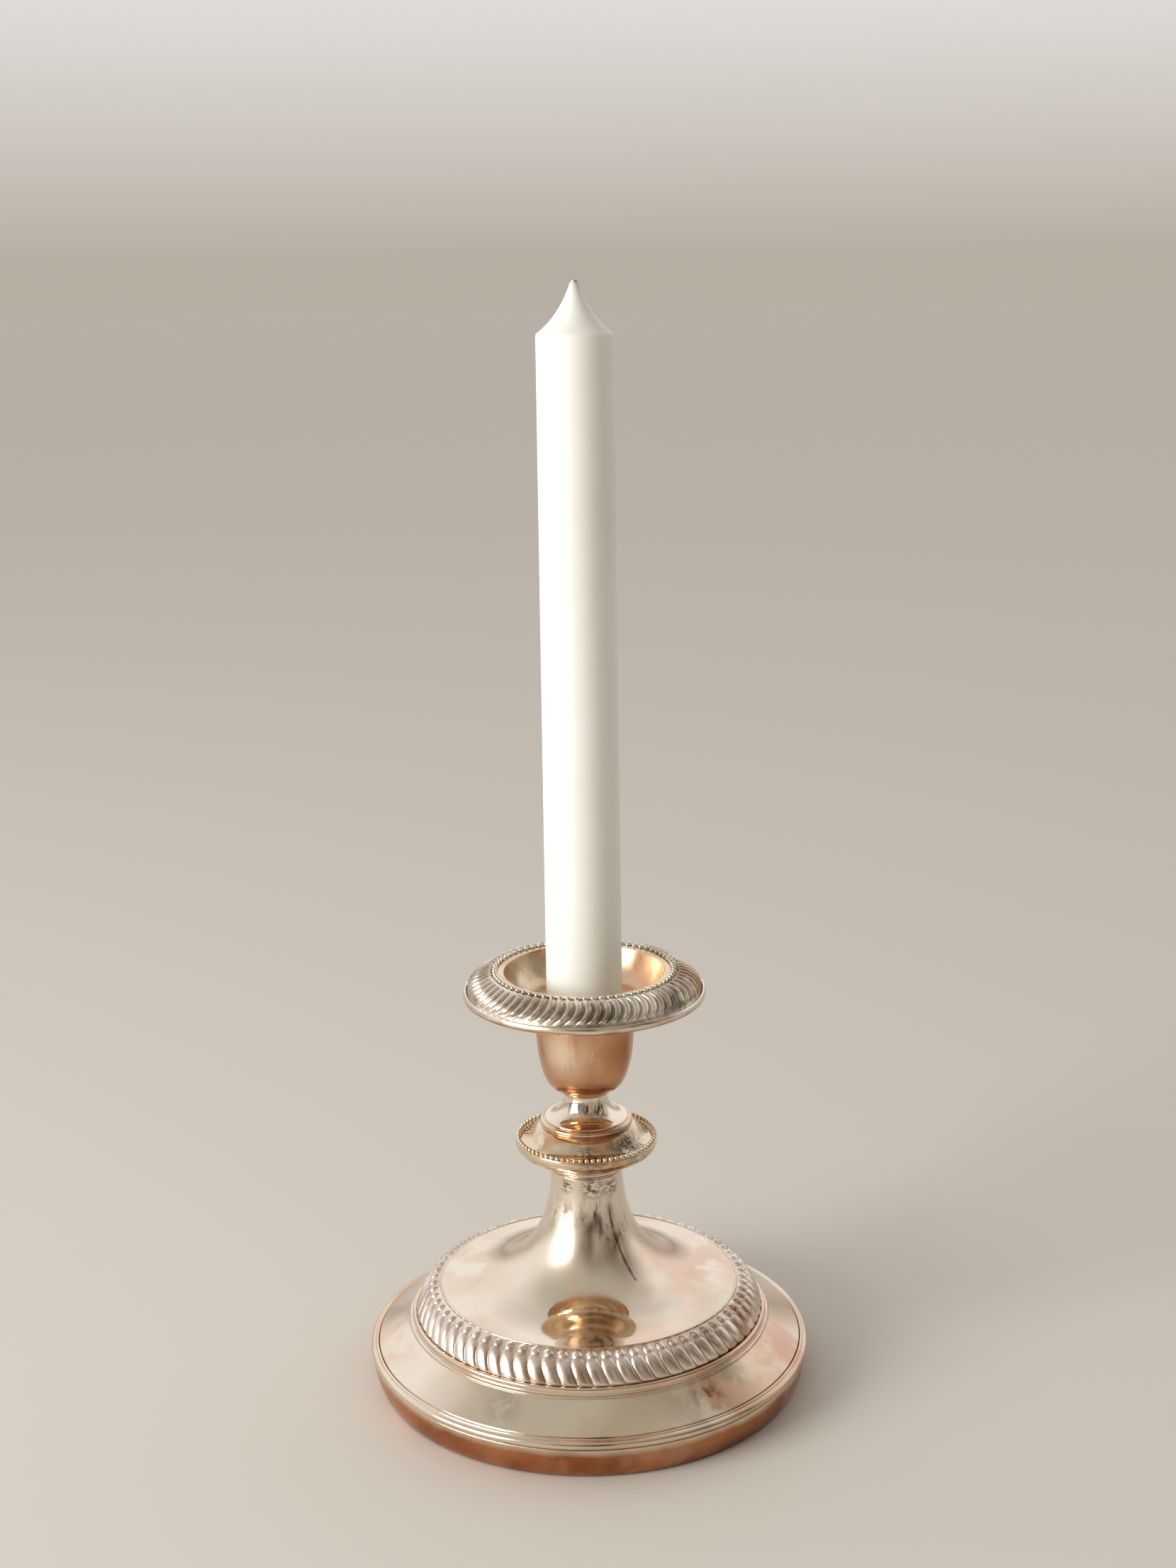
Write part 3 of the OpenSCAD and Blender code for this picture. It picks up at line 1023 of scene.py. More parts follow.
@dataclass(frozen=True)
class StruckRing:
    """A strip of sheet struck with a die and bent into a ring.

    Attributes:
        name: name of the piece.
        repeats: how many times the pattern goes round.
        face: the path over the strip's valleys, from its outer edge inwards.
        under: the path that closes the section, back to the outer edge.
        die: gives the relief from the place across a repeat, from -1 to 1, and
            the length along the face, in millimetres.
        across: steps across one repeat.
        start: turn of the first repeat's middle, in degrees.
    """

    name: str
    repeats: int
    face: Path
    under: Path
    die: Callable[[np.ndarray, np.ndarray], Relief]
    across: int
    start: float

    def make(self) -> bpy.types.Object:
        """Strikes the strip and bends it into a ring.

        Returns:
            The ring.
        """
        section = np.array(self.face + self.under + self.face[:1], float)
        columns = self.repeats * self.across
        rows = len(section) - 1
        put_down()
        bpy.ops.mesh.primitive_grid_add(x_subdivisions=columns, y_subdivisions=rows, size=2.0)
        obj = bpy.context.object
        obj.name = self.name
        obj.data.name = self.name
        count = len(obj.data.vertices)
        flat = np.zeros(count * 3)
        obj.data.vertices.foreach_get("co", flat)
        flat = flat.reshape(-1, 3)
        column = np.rint((flat[:, 0] + 1) / 2 * columns).astype(int)
        row = np.rint((flat[:, 1] + 1) / 2 * rows).astype(int)
        struck = self.struck_section(section, column, row)
        angle = np.radians(360 * column / columns + struck[2] + self.start)
        bent = np.c_[struck[0] * np.cos(angle), struck[0] * np.sin(angle), struck[1]] * MM
        obj.data.vertices.foreach_set("co", bent.ravel())
        obj.data.update()
        take_up(obj)
        bpy.ops.object.mode_set(mode="EDIT")
        weld()
        bpy.ops.object.mode_set(mode="OBJECT")
        return obj

    def struck_section(
        self, section: np.ndarray, column: np.ndarray, row: np.ndarray
    ) -> tuple[np.ndarray, np.ndarray, np.ndarray]:
        """Where each point of the strip lies once the die has struck it.

        Args:
            section: the closed section, as radius and height.
            column: each point's column, round the ring.
            row: each point's row, along the section.

        Returns:
            Radius and height in millimetres, and lean in degrees.
        """
        top = len(self.face)
        steps = np.diff(section[:top], axis=0)
        lengths = np.r_[0, np.cumsum(np.linalg.norm(steps, axis=1))]
        unit = steps / np.linalg.norm(steps, axis=1)[:, None]
        tangent = np.vstack([unit[:1], unit[:-1] + unit[1:], unit[-1:]])
        tangent /= np.linalg.norm(tangent, axis=1)[:, None]
        out = np.c_[tangent[:, 1], -tangent[:, 0]]
        on_face = np.where(row < top, row, np.where(row == len(section) - 1, 0, -1))
        index = np.maximum(on_face, 0)
        phase = 2 * ((column % self.across) / self.across) - 1
        relief = self.die(phase, lengths[index])
        rise = np.where(on_face >= 0, relief.rise, 0)
        lean = np.where(on_face >= 0, relief.lean, 0)
        radius = section[row, 0] + out[index, 0] * rise
        height = section[row, 1] + out[index, 1] * rise
        return radius, height, lean


@dataclass(frozen=True)
class BeadRow:
    """A row of beads standing in a flat wire.

    Attributes:
        name: name of the piece.
        beads: how many beads go round.
        ring: radius of the row.
        bead: radius of a bead.
        seat: height that the wire lies at.
        start: turn of the first bead, in degrees.
    """

    name: str
    beads: int
    ring: float
    bead: float
    seat: float
    start: float

    def make(self) -> bpy.types.Object:
        """Spins one bead into a row and joins it to its wire.

        Returns:
            The row.
        """
        angle = math.radians(self.start)
        put_down()
        bpy.ops.mesh.primitive_ico_sphere_add(
            subdivisions=2,
            radius=self.bead * MM,
            location=(
                self.ring * math.cos(angle) * MM,
                self.ring * math.sin(angle) * MM,
                (self.seat + self.bead) * MM,
            ),
        )
        row = bpy.context.object
        bpy.ops.object.transform_apply(location=True, rotation=True, scale=True)
        bpy.ops.object.mode_set(mode="EDIT")
        bpy.ops.mesh.select_all(action="SELECT")
        bpy.ops.mesh.spin(
            steps=self.beads, angle=FULL_TURN, dupli=True, center=(0, 0, 0), axis=(0, 0, 1)
        )
        weld()
        bpy.ops.object.mode_set(mode="OBJECT")
        half = self.bead * 0.88
        section = [
            (self.ring - half, self.seat),
            (self.ring + half, self.seat),
            (self.ring + half, self.seat + self.bead * 0.25),
            (self.ring - half, self.seat + self.bead * 0.25),
        ]
        wire = turn(self.name + "_wire", eased(section, 0.15, closed=True), ROUND)
        return join([row, wire], self.name)


# ---------------------------------------------------------------- the stick


@dataclass
class Base:
    """The loaded base, from the baize up to the gadroon border.

    Attributes:
        sheet: thickness of the spun sheet.
        foot_tuck: how far the foot band tucks in towards the table.
        skirt_width: radial width of the sloping skirt.
        skirt_sag: how far the skirt lies below a straight slope.
        riser: height of the riser at the skirt's head.
        lobes: number of lobes on the border.
        lobe_rise: height of a lobe above its valley.
        ball: radius of the ball at a lobe's head.
        ball_share: how much of its radius the ball stands up.
        lean: how far a lobe has leaned at its foot, in degrees.
        lobe_circle: radius at which a lobe's width is reckoned.
        turned: how far the border is turned from the front, in degrees.
    """

    sheet: float = 0.8
    foot_tuck: float = 2.4
    skirt_width: float = 9.3
    skirt_sag: float = 0.5
    riser: float = 1.2
    lobes: int = 72
    lobe_rise: float = 0.66
    ball: float = 1.4
    ball_share: float = 0.6
    lean: float = 3.4
    lobe_circle: float = 47.5
    turned: float = 0.7

    def build(self) -> None:
        """Makes, dresses and fixes every piece of the base."""
        plate = WornPlate(
            stains_and_painted_light=(
                StainAndPaintedLight((36, -46, 16), 26, "#B58C6E", 0.7, 14.0, 1.5, 0.35),
                StainAndPaintedLight((33, -47, 15), 8, "#7A4A22", 0.9, 3.6, 5.0, 0.55),
                StainAndPaintedLight((40, -38, 18.5), 8, "#7E8464", 0.6, 8.0, 2.0, 0.4),
                StainAndPaintedLight((-58, -10, 14), 26, "#E2B9A2", 0.6, 12.0),
                StainAndPaintedLight((57, -18, 14), 28, "#CB9A84", 0.7, 12.0, 1.0, 0.4),
                StainAndPaintedLight((-24, -52, 16), 9, "#98907E", 0.35, 5.0, 2.0, 0.45),
            )
        ).make()
        copper = BareCopper(
            name="foot_copper",
            copper="#BC7E55",
            brown="#945A32",
            rose="#C79A80",
            fade_from=high("foot_band"),
            fade_to=high("foot_band") - 2.2,
        ).make()
        struck = StruckPlate(
            name="base_border_plate",
            tarnish_share=0.45,
            bright="#F3E7DC",
            gloss=0.26,
            stains_and_painted_light=(
                StainAndPaintedLight((44, -24, 26), 36, "#AC8468", 0.75, 9.0, 1.0, 0.35),
                StainAndPaintedLight((-10, -50, 25), 24, "#BFA08A", 0.5, 5.0, 1.0, 0.45),
            ),
        ).make()
        fit(self.make_baize(), Body.STICK, WoolBaize().make(), ["baize_pad"])
        fit(self.make_foot_band(), Body.STICK, copper, ["foot_band"])
        fit(self.make_rim(), Body.STICK, plate, ["rim_moulding"])
        fit(self.make_skirt(), Body.STICK, plate, ["base_shell"])
        fit(self.make_step_wire(), Body.STICK, plate, ["step_wire"])
        fit(self.make_border(), Body.STICK, struck, ["base_gadroon"])

    def make_baize(self) -> bpy.types.Object:
        """Turns the felt disc under the base.

        Returns:
            The piece.
        """
        radius, top = reach("baize_pad"), high("baize_pad")
        outline = [(0, 0), (radius - 0.5, 0), (radius, 0.4), (radius, top), (0, top)]
        return finished(turn("baize_pad_felt", outline, ROUND, closed=False), 1.0)

    def make_foot_band(self) -> bpy.types.Object:
        """Turns the upright band that stands on the table.

        Returns:
            The piece.
        """
        radius, foot, top = reach("foot_band"), low("foot_band"), high("foot_band")
        face = bend(
            (radius - self.foot_tuck, foot),
            (radius + 0.1, foot + (top - foot) * 0.35),
            (radius, top - 0.1),
            16,
        )
        return finished(turn("foot_band_copper", wall(face, self.sheet)), 3.0)

    def make_rim(self) -> bpy.types.Object:
        """Turns the rim moulding: a roll, a fine groove and a narrow reed.

        Returns:
            The piece.
        """
        out, foot, top = reach("rim_moulding"), low("rim_moulding"), high("rim_moulding")
        inner = out - 2.45
        roll = arc((out - 1.22, foot + 1.22), 1.22, -62, 96, 14)
        reed = arc((inner + 0.62, top - 0.52), 0.50, 20, 168, 10)
        outline = [(inner, foot + 0.02), (out - 0.9, foot + 0.02)] + roll + reed + [(inner, top - 0.7)]
        return finished(turn("rim_moulding_silver", eased(outline, 0.08, closed=True)), 3.0, 1)

    def make_skirt(self) -> bpy.types.Object:
        """Turns the sloping skirt with its fillet, riser and step.

        Returns:
            The piece.
        """
        out, foot, step = reach("base_shell"), low("base_shell"), high("base_shell")
        foot_of_slope = high("rim_moulding")
        head = step - self.riser
        rise = head - foot_of_slope
        middle = (out - self.skirt_width * 0.6, foot_of_slope + rise * 0.6 - self.skirt_sag)
        fillet_r = out - self.skirt_width
        path = (
            [(out, foot), (out, foot_of_slope - 0.2)]
            + bend((out - 0.1, foot_of_slope), middle, (fillet_r, head), 16)
            + arc((fillet_r - 0.35, head + 0.35), 0.4, -20, 90, 5)
            + [(fillet_r - 0.75, head + 0.8), (fillet_r - 0.8, step)]
            + [(reach("stem_shell") - self.sheet, step)]
        )
        return finished(turn("base_skirt_silver", wall(path, self.sheet, 0.1)), 3.0)

    def make_step_wire(self) -> bpy.types.Object:
        """Turns the small rounded wire at the foot of the border.

        Returns:
            The piece.
        """
        out, foot, top = reach("step_wire"), low("step_wire"), high("step_wire")
        inner = reach("base_gadroon") + 0.05
        middle = (out + inner) / 2
        half = (out - inner) / 2
        cap = arc((middle, top - half), half, 0, 180, 10)
        return finished(turn("step_wire_silver", [(inner, foot), (out, foot)] + cap), 3.0, 1)

    def make_border(self) -> bpy.types.Object:
        """Strikes the border of balls and leaning lobes.

        Returns:
            The piece.
        """
        out, foot, top = reach("base_gadroon"), low("base_gadroon"), high("base_gadroon")
        inner = reach("stem_shell") + 0.05
        base_of_face = high("step_wire") - 0.3
        face = bend((out - 0.1, base_of_face), (out - 1.5, top - 2.0), (inner, top - 0.1), 26)
        under = [(inner, foot + 0.02), (out - 0.1, foot + 0.02)]
        obj = StruckRing(
            name="base_border_struck",
            repeats=self.lobes,
            face=face,
            under=under,
            die=self.strike,
            across=14,
            start=-90 + self.turned - 180 / self.lobes,
        ).make()
        return finished(obj, 1.6, angle=60)

    def strike(self, phase: np.ndarray, length: np.ndarray) -> Relief:
        """The border's die: a ball over a lobe that leans at its foot.

        Args:
            phase: place across a lobe, from -1 to 1.
            length: length along the face from its foot, in millimetres.

        Returns:
            The relief.
        """
        whole = float(length.max())
        down = 1 - length / whole
        half_pitch = math.pi * self.lobe_circle / self.lobes
        centre = whole - self.ball - 0.6
        aside = phase * half_pitch
        away = np.hypot(aside, length - centre)
        ball = np.sqrt(np.maximum(self.ball**2 - away**2, 0)) * self.ball_share
        neck = centre - self.ball * 0.7
        tail, shoulder = 0.9, 2.6
        head_fade = np.clip((neck - length) / 0.8, 0, 1) ** 0.5
        foot_fade = np.sqrt(np.clip(1 - ((tail - length) / tail).clip(0, 1) ** 2, 0, 1))
        wide = 0.62 + 0.34 * np.clip((neck - length) / shoulder, 0, 1) ** 0.6
        across = np.sqrt(np.clip(1 - (phase / wide) ** 2, 0, 1))
        lobe = self.lobe_rise * across * head_fade * foot_fade
        return Relief(rise=np.maximum(ball, lobe), lean=self.lean * down**2)


@dataclass
class Stem:
    """The dish and trumpet stem in one spinning, with its collar.

    Attributes:
        sheet: thickness of the spun sheet.
        mouth: radius of the stem at its top.
        dish_reach: length of the nearly flat part of the dish.
        stem_reach: length over which the stem runs nearly straight.
    """

    sheet: float = 0.8
    mouth: float = 10.5
    dish_reach: float = 20.0
    stem_reach: float = 24.0

    def build(self) -> None:
        """Makes, dresses and fixes the stem and its collar."""
        plate = WornPlate(
            name="stem_silver_plate",
            blush_share=0.45,
            gloss=0.05,
            dull=0.24,
            dull_above=32.0,
            # Painted reflection: a thin dark line running down the trumpet to the dish.
            reflected_streaks=(ReflectedStreak((6.2, -9.4), (13.9, -17.2)),),
            stains_and_painted_light=(
                StainAndPaintedLight((-8, -30, 29), 30, "#4A3A22", 0.8, 1.4, 1.5, 1.32),
                StainAndPaintedLight((-30, 12, 29), 34, "#D8B798", 0.6, 14.0, 1.0, 0.3),
                StainAndPaintedLight((32, 6, 29), 34, "#D3AB90", 0.7, 14.0, 1.0, 0.25),
                # Painted reflections: dark upright streaks mirrored in the front of the stem.
                StainAndPaintedLight((1.5, -10.8, 54), 9, "#38291C", 0.9, 3.4, 4.5, 0.72),
                StainAndPaintedLight((6.5, -9.6, 50), 11, "#5A3B22", 0.85, 2.2, 9.0, 0.66),
                StainAndPaintedLight((-7, -9.0, 53), 8, "#4A3F34", 0.8, 2.6, 3.0, 0.7),
                # Painted shade: dark patches on the stem just under the collar and the knop.
                StainAndPaintedLight((1.5, -10.5, 62.0), 5, "#36281B", 0.9, 1.8, 0.6, 0.42),
                StainAndPaintedLight((-6, -8.5, 62.3), 4, "#3A2A1C", 0.8, 1.6, 0.4, 0.5),
                StainAndPaintedLight((7.0, -8.2, 61.5), 4.5, "#4A3322", 0.85, 1.8, 0.6, 0.45),
            ),
        ).make()
        fit(self.make_trumpet(), Body.STICK, plate, ["stem_shell"])
        fit(self.make_collar(), Body.STICK, plate, ["stem_collar"])

    def make_trumpet(self) -> bpy.types.Object:
        """Turns the dish and stem, with the thin ridge round the dish.

        Returns:
            The piece.
        """
        out, foot, top = reach("stem_shell"), low("stem_shell"), high("stem_shell")
        dish = high("base_gadroon")
        path = (
            [(out, foot), (out, dish)]
            + arc((out - 0.3, dish + 0.05), 0.3, 0, 150, 5)
            + [(out - 0.75, dish + 0.12)]
            + curve(
                (out - 1.1, dish + 0.15),
                (out - self.dish_reach, dish + 0.5),
                (self.mouth + 0.4, top - self.stem_reach),
                (self.mouth, top),
                44,
            )
        )
        return finished(turn("stem_trumpet_silver", wall(path, self.sheet, 0.15)), 4.0)

    def make_collar(self) -> bpy.types.Object:
        """Turns the collar: a band, a fine groove and a reed under the knop.

        Returns:
            The piece.
        """
        foot, top, seam = low("stem_collar"), high("stem_collar"), high("stem_shell")
        inner, spigot = 2.8, self.mouth - self.sheet - 0.1
        outer = reach("stem_collar")
        outline = (
            [(inner, foot), (spigot, foot), (spigot, seam + 0.05), (outer - 0.45, seam + 0.05)]
            + [(outer - 0.45, seam + 0.35)]
            + arc((outer - 0.9, seam + 1.15), 0.9, -50, 50, 8)
            + [(outer - 0.4, seam + 2.05)]
            + arc((outer - 0.6, seam + 2.6), 0.5, -60, 75, 8)
            + [(outer - 1.0, top), (inner, top)]
        )
        return finished(turn("stem_collar_silver", eased(outline, 0.08, closed=True)), 3.0, 1)


@dataclass
class Knop:
    """The beaded knop: a lower and an upper shell with beads over their seam.

    Attributes:
        sheet: thickness of the spun sheet.
        bore: radius of the hole for the tie rod.
        step_ring: radius of the stepped ring on top.
        beads: number of beads.
        bead: radius of a bead.
    """

    sheet: float = 0.8
    bore: float = 2.8
    step_ring: float = 13.65
    beads: int = 72
    bead: float = 0.66

    def build(self) -> None:
        """Makes, dresses and fixes the knop's pieces."""
        plate = WornPlate(
            name="knop_silver_plate",
            bright="#E6D5BA",
            blush="#D8A47A",
            blush_share=0.75,
            haze_share=0.35,
            blush_mm=16.0,
            gloss=0.11,
            stains_and_painted_light=(
                StainAndPaintedLight((12, -12, 76), 11, "#7C766A", 0.85, 5.0, 1.0, 0.35),
                StainAndPaintedLight((13, -11, 76), 9, "#24211C", 0.9, 1.0, 1.0, 0.6),
                StainAndPaintedLight((-13, -10, 76), 6, "#9A7350", 0.6, 2.5),
                # Painted shade: the right front of the knop's lower roll, darker than its lit left.
                StainAndPaintedLight((5, -20, 72.5), 8, "#8E6240", 0.7, 3.0, 0.6, 0.3),
                # Painted shade: the gaps behind the front beads of the knop.
                StainAndPaintedLight((0, -18.6, 75), 7, "#5A3E28", 0.75, 1.4, 0.5, 0.4),
            ),
        ).make()
        # Its dark valleys are tarnish and painted shade between the beads.
        beading = StruckPlate(
            name="knop_bead_plate", bright="#F4E9D6", tarnish="#C9AA86", gloss=0.26
        ).make()
        fit(self.make_lower(), Body.STICK, plate, ["knop_lower"])
        fit(self.make_upper(), Body.STICK, plate, ["knop_upper"])
        fit(self.make_beading(), Body.STICK, beading, ["knop_beading"])

    def bead_ring(self) -> float:
        """Radius of the row of beads."""
        return (reach("knop_upper") + reach("knop_lower")) / 2 - 0.35

    def make_lower(self) -> bpy.types.Object:
        """Turns the bowl-shaped lower shell with its rolled rim.

        Returns:
            The piece.
        """
        out, foot, top = reach("knop_lower"), low("knop_lower"), high("knop_lower")
        lip = reach("knop_upper") + self.sheet + 0.05
        path = (
            [(self.bore, foot), (reach("stem_collar") - 1.0, foot)]
            + curve(
                (reach("stem_collar") - 0.6, foot + 0.1),
                (out - 3, foot + 0.3),
                (out + 0.55, foot + 2.6),
                (lip, top - 0.4),
                22,
            )
            + [(lip, top)]
        )
        return finished(turn("knop_lower_shell", wall(path, self.sheet, 0.15), 144), 3.0)

    def make_upper(self) -> bpy.types.Object:
        """Turns the domed upper shell with its stepped ring.

        Returns:
            The piece.
        """
        out, seat, top = reach("knop_upper"), high("knop_lower"), high("knop_upper")
        ring = self.step_ring
        path = (
            [(out, seat), (out - 0.7, seat)]
            + curve(
                (out - 1.0, seat + 0.1),
                (out - 3.5, seat + 0.3),
                (ring + 1.9, top - 2.0),
                (ring - 0.4, top - 1.7),
                18,
            )
            + [(ring - 0.55, top - 1.5)]
            + arc((ring - 0.85, top - 0.78), 0.85, -50, 100, 11)
            + [(ring - 1.15, top - 0.12), (ring - 1.4, top), (self.bore, top)]
        )
        return finished(turn("knop_upper_shell", wall(path, self.sheet, 0.08), 144), 3.0)

    def make_beading(self) -> bpy.types.Object:
        """Makes the row of beads over the seam.

        Returns:
            The piece.
        """
        ring, seat = self.bead_ring(), low("knop_beading")
        row = BeadRow("knop_bead_row", self.beads, ring, self.bead, seat, start=-90.0)
        return finished(row.make(), 1.0, passes=0, angle=60)


@dataclass
class Sconce:
    """The neck spool, the copper cup and the liner in its mouth.

    Attributes:
        sheet: thickness of the spun sheet.
        bore: radius of the hole for the tie rod.
        neck: radius of the neck at its narrowest.
        belly: radius where the cup's bowl turns into its wall.
        belly_height: height of that turn above the cup's foot.
        liner_wall: wall of the liner.
        liner_bore: radius of the liner's bore.
    """

    sheet: float = 0.8
    bore: float = 2.8
    neck: float = 6.2
    belly: float = 13.8
    belly_height: float = 12.6
    liner_wall: float = 0.6
    liner_bore: float = 11.93

    def build(self) -> None:
        """Makes, dresses and fixes the pieces from the neck to the cup's mouth."""
        silver = WornPlate(
            name="neck_silver_plate",
            bright="#EFE6D4",
            blush_share=0.35,
            haze_share=0.3,
            gloss=0.09,
            stains_and_painted_light=(
                # Painted reflections: dark upright streaks mirrored in the neck.
                StainAndPaintedLight((-3.5, -5.5, 86), 5, "#4A4036", 0.8, 1.2, 6.0, 0.55),
                StainAndPaintedLight((4, -6, 85), 5, "#3E342B", 0.7, 1.4, 6.0, 0.6),
            ),
        ).make()
        copper = BareCopper(
            name="cup_copper",
            copper="#D19E76",
            brown="#B98057",
            rose="#E3BC9E",
            brown_share=0.45,
            gloss=0.17,
            stains_and_painted_light=(
                # Painted reflection: a pale upright band of window light left of the front, darker copper on
                # the right and on the left flank.
                StainAndPaintedLight((-6.5, -12.5, 104), 12, "#FBE2C8", 0.85, 6.0, 9.0, 0.15),
                StainAndPaintedLight((12, -7, 104), 11, "#94603C", 0.7, 6.0, 9.0, 0.3),
                StainAndPaintedLight((-12.5, -6, 104), 8, "#A2683F", 0.55, 5.0, 9.0, 0.4),
                StainAndPaintedLight((0.5, -13.5, 103), 7, "#F3E2CF", 0.55, 0.9, 1.6, 0.92),
            ),
        ).make()
        inside = BareCopper(name="liner_copper", copper="#B98258", gloss=0.35).make()
        fit(self.make_neck(), Body.STICK, silver, ["neck_spool"])
        fit(self.make_cup(), Body.STICK, copper, ["sconce_cup"])
        fit(self.make_liner(), Body.STICK, inside, ["cup_liner"])

    def make_neck(self) -> bpy.types.Object:
        """Turns the spool between knop and cup.

        Returns:
            The piece.
        """
        out, foot, top = reach("neck_spool"), low("neck_spool"), high("neck_spool")
        outline = (
            [(self.bore, foot), (out, foot)]
            + arc((out - 0.28, foot + 0.3), 0.28, 0, 110, 5)
            + curve(
                (out - 0.6, foot + 0.5),
                (out - 4.2, foot + 1.1),
                (self.neck + 0.15, top - 3.2),
                (self.neck, top - 0.5),
                20,
            )
            + [(self.neck + 0.1, top), (self.bore, top)]
        )
        return finished(turn("neck_spool_silver", eased(outline, 0.06, closed=True), 144), 3.0)

    def make_cup(self) -> bpy.types.Object:
        """Turns the cup: a ring round its foot, a bowl and a nearly straight wall.

        Returns:
            The piece.
        """
        out, foot, top = reach("sconce_cup"), low("sconce_cup"), high("sconce_cup")
        ring = arc((self.neck + 0.75, foot + 0.55), 0.5, -70, 75, 7)
        bowl = curve(
            (self.neck + 0.85, foot + 1.1),
            (self.belly - 2.6, foot + 1.1),
            (self.belly - 1.1, foot + self.belly_height - 7),
            (self.belly, foot + self.belly_height),
            30,
        )
        side = bend(
            (self.belly + 0.04, foot + self.belly_height + 0.6),
            (self.belly + (out - self.belly) * 0.6, foot + self.belly_height + 7),
            (out, top - 0.5),
            12,
        )
        inside = moved(bowl + side + [(out, top)], self.sheet)[::-1]
        floor = [(self.bore, foot + 1.1 + self.sheet), (self.bore, foot)]
        outline = eased(ring + bowl + side + [(out, top)] + inside + floor, 0.1, closed=True)
        return finished(turn("sconce_cup_copper", outline, 144), 1.6)

    def make_liner(self) -> bpy.types.Object:
        """Turns the liner tube with its flange.

        Returns:
            The piece.
        """
        foot, top = low("cup_liner"), high("cup_liner")
        inner, outer, flange = self.liner_bore, self.liner_bore + self.liner_wall, reach("cup_liner")
        thick = self.liner_wall
        outline = [
            (inner, foot),
            (outer, foot),
            (outer, top - thick),
            (flange, top - thick),
            (flange, top),
            (inner, top),
        ]
        return finished(turn("cup_liner_tube", eased(outline, 0.2, closed=True), SMALL_ROUND), 2.0)


# ---------------------------------------------------------------- the nozzle


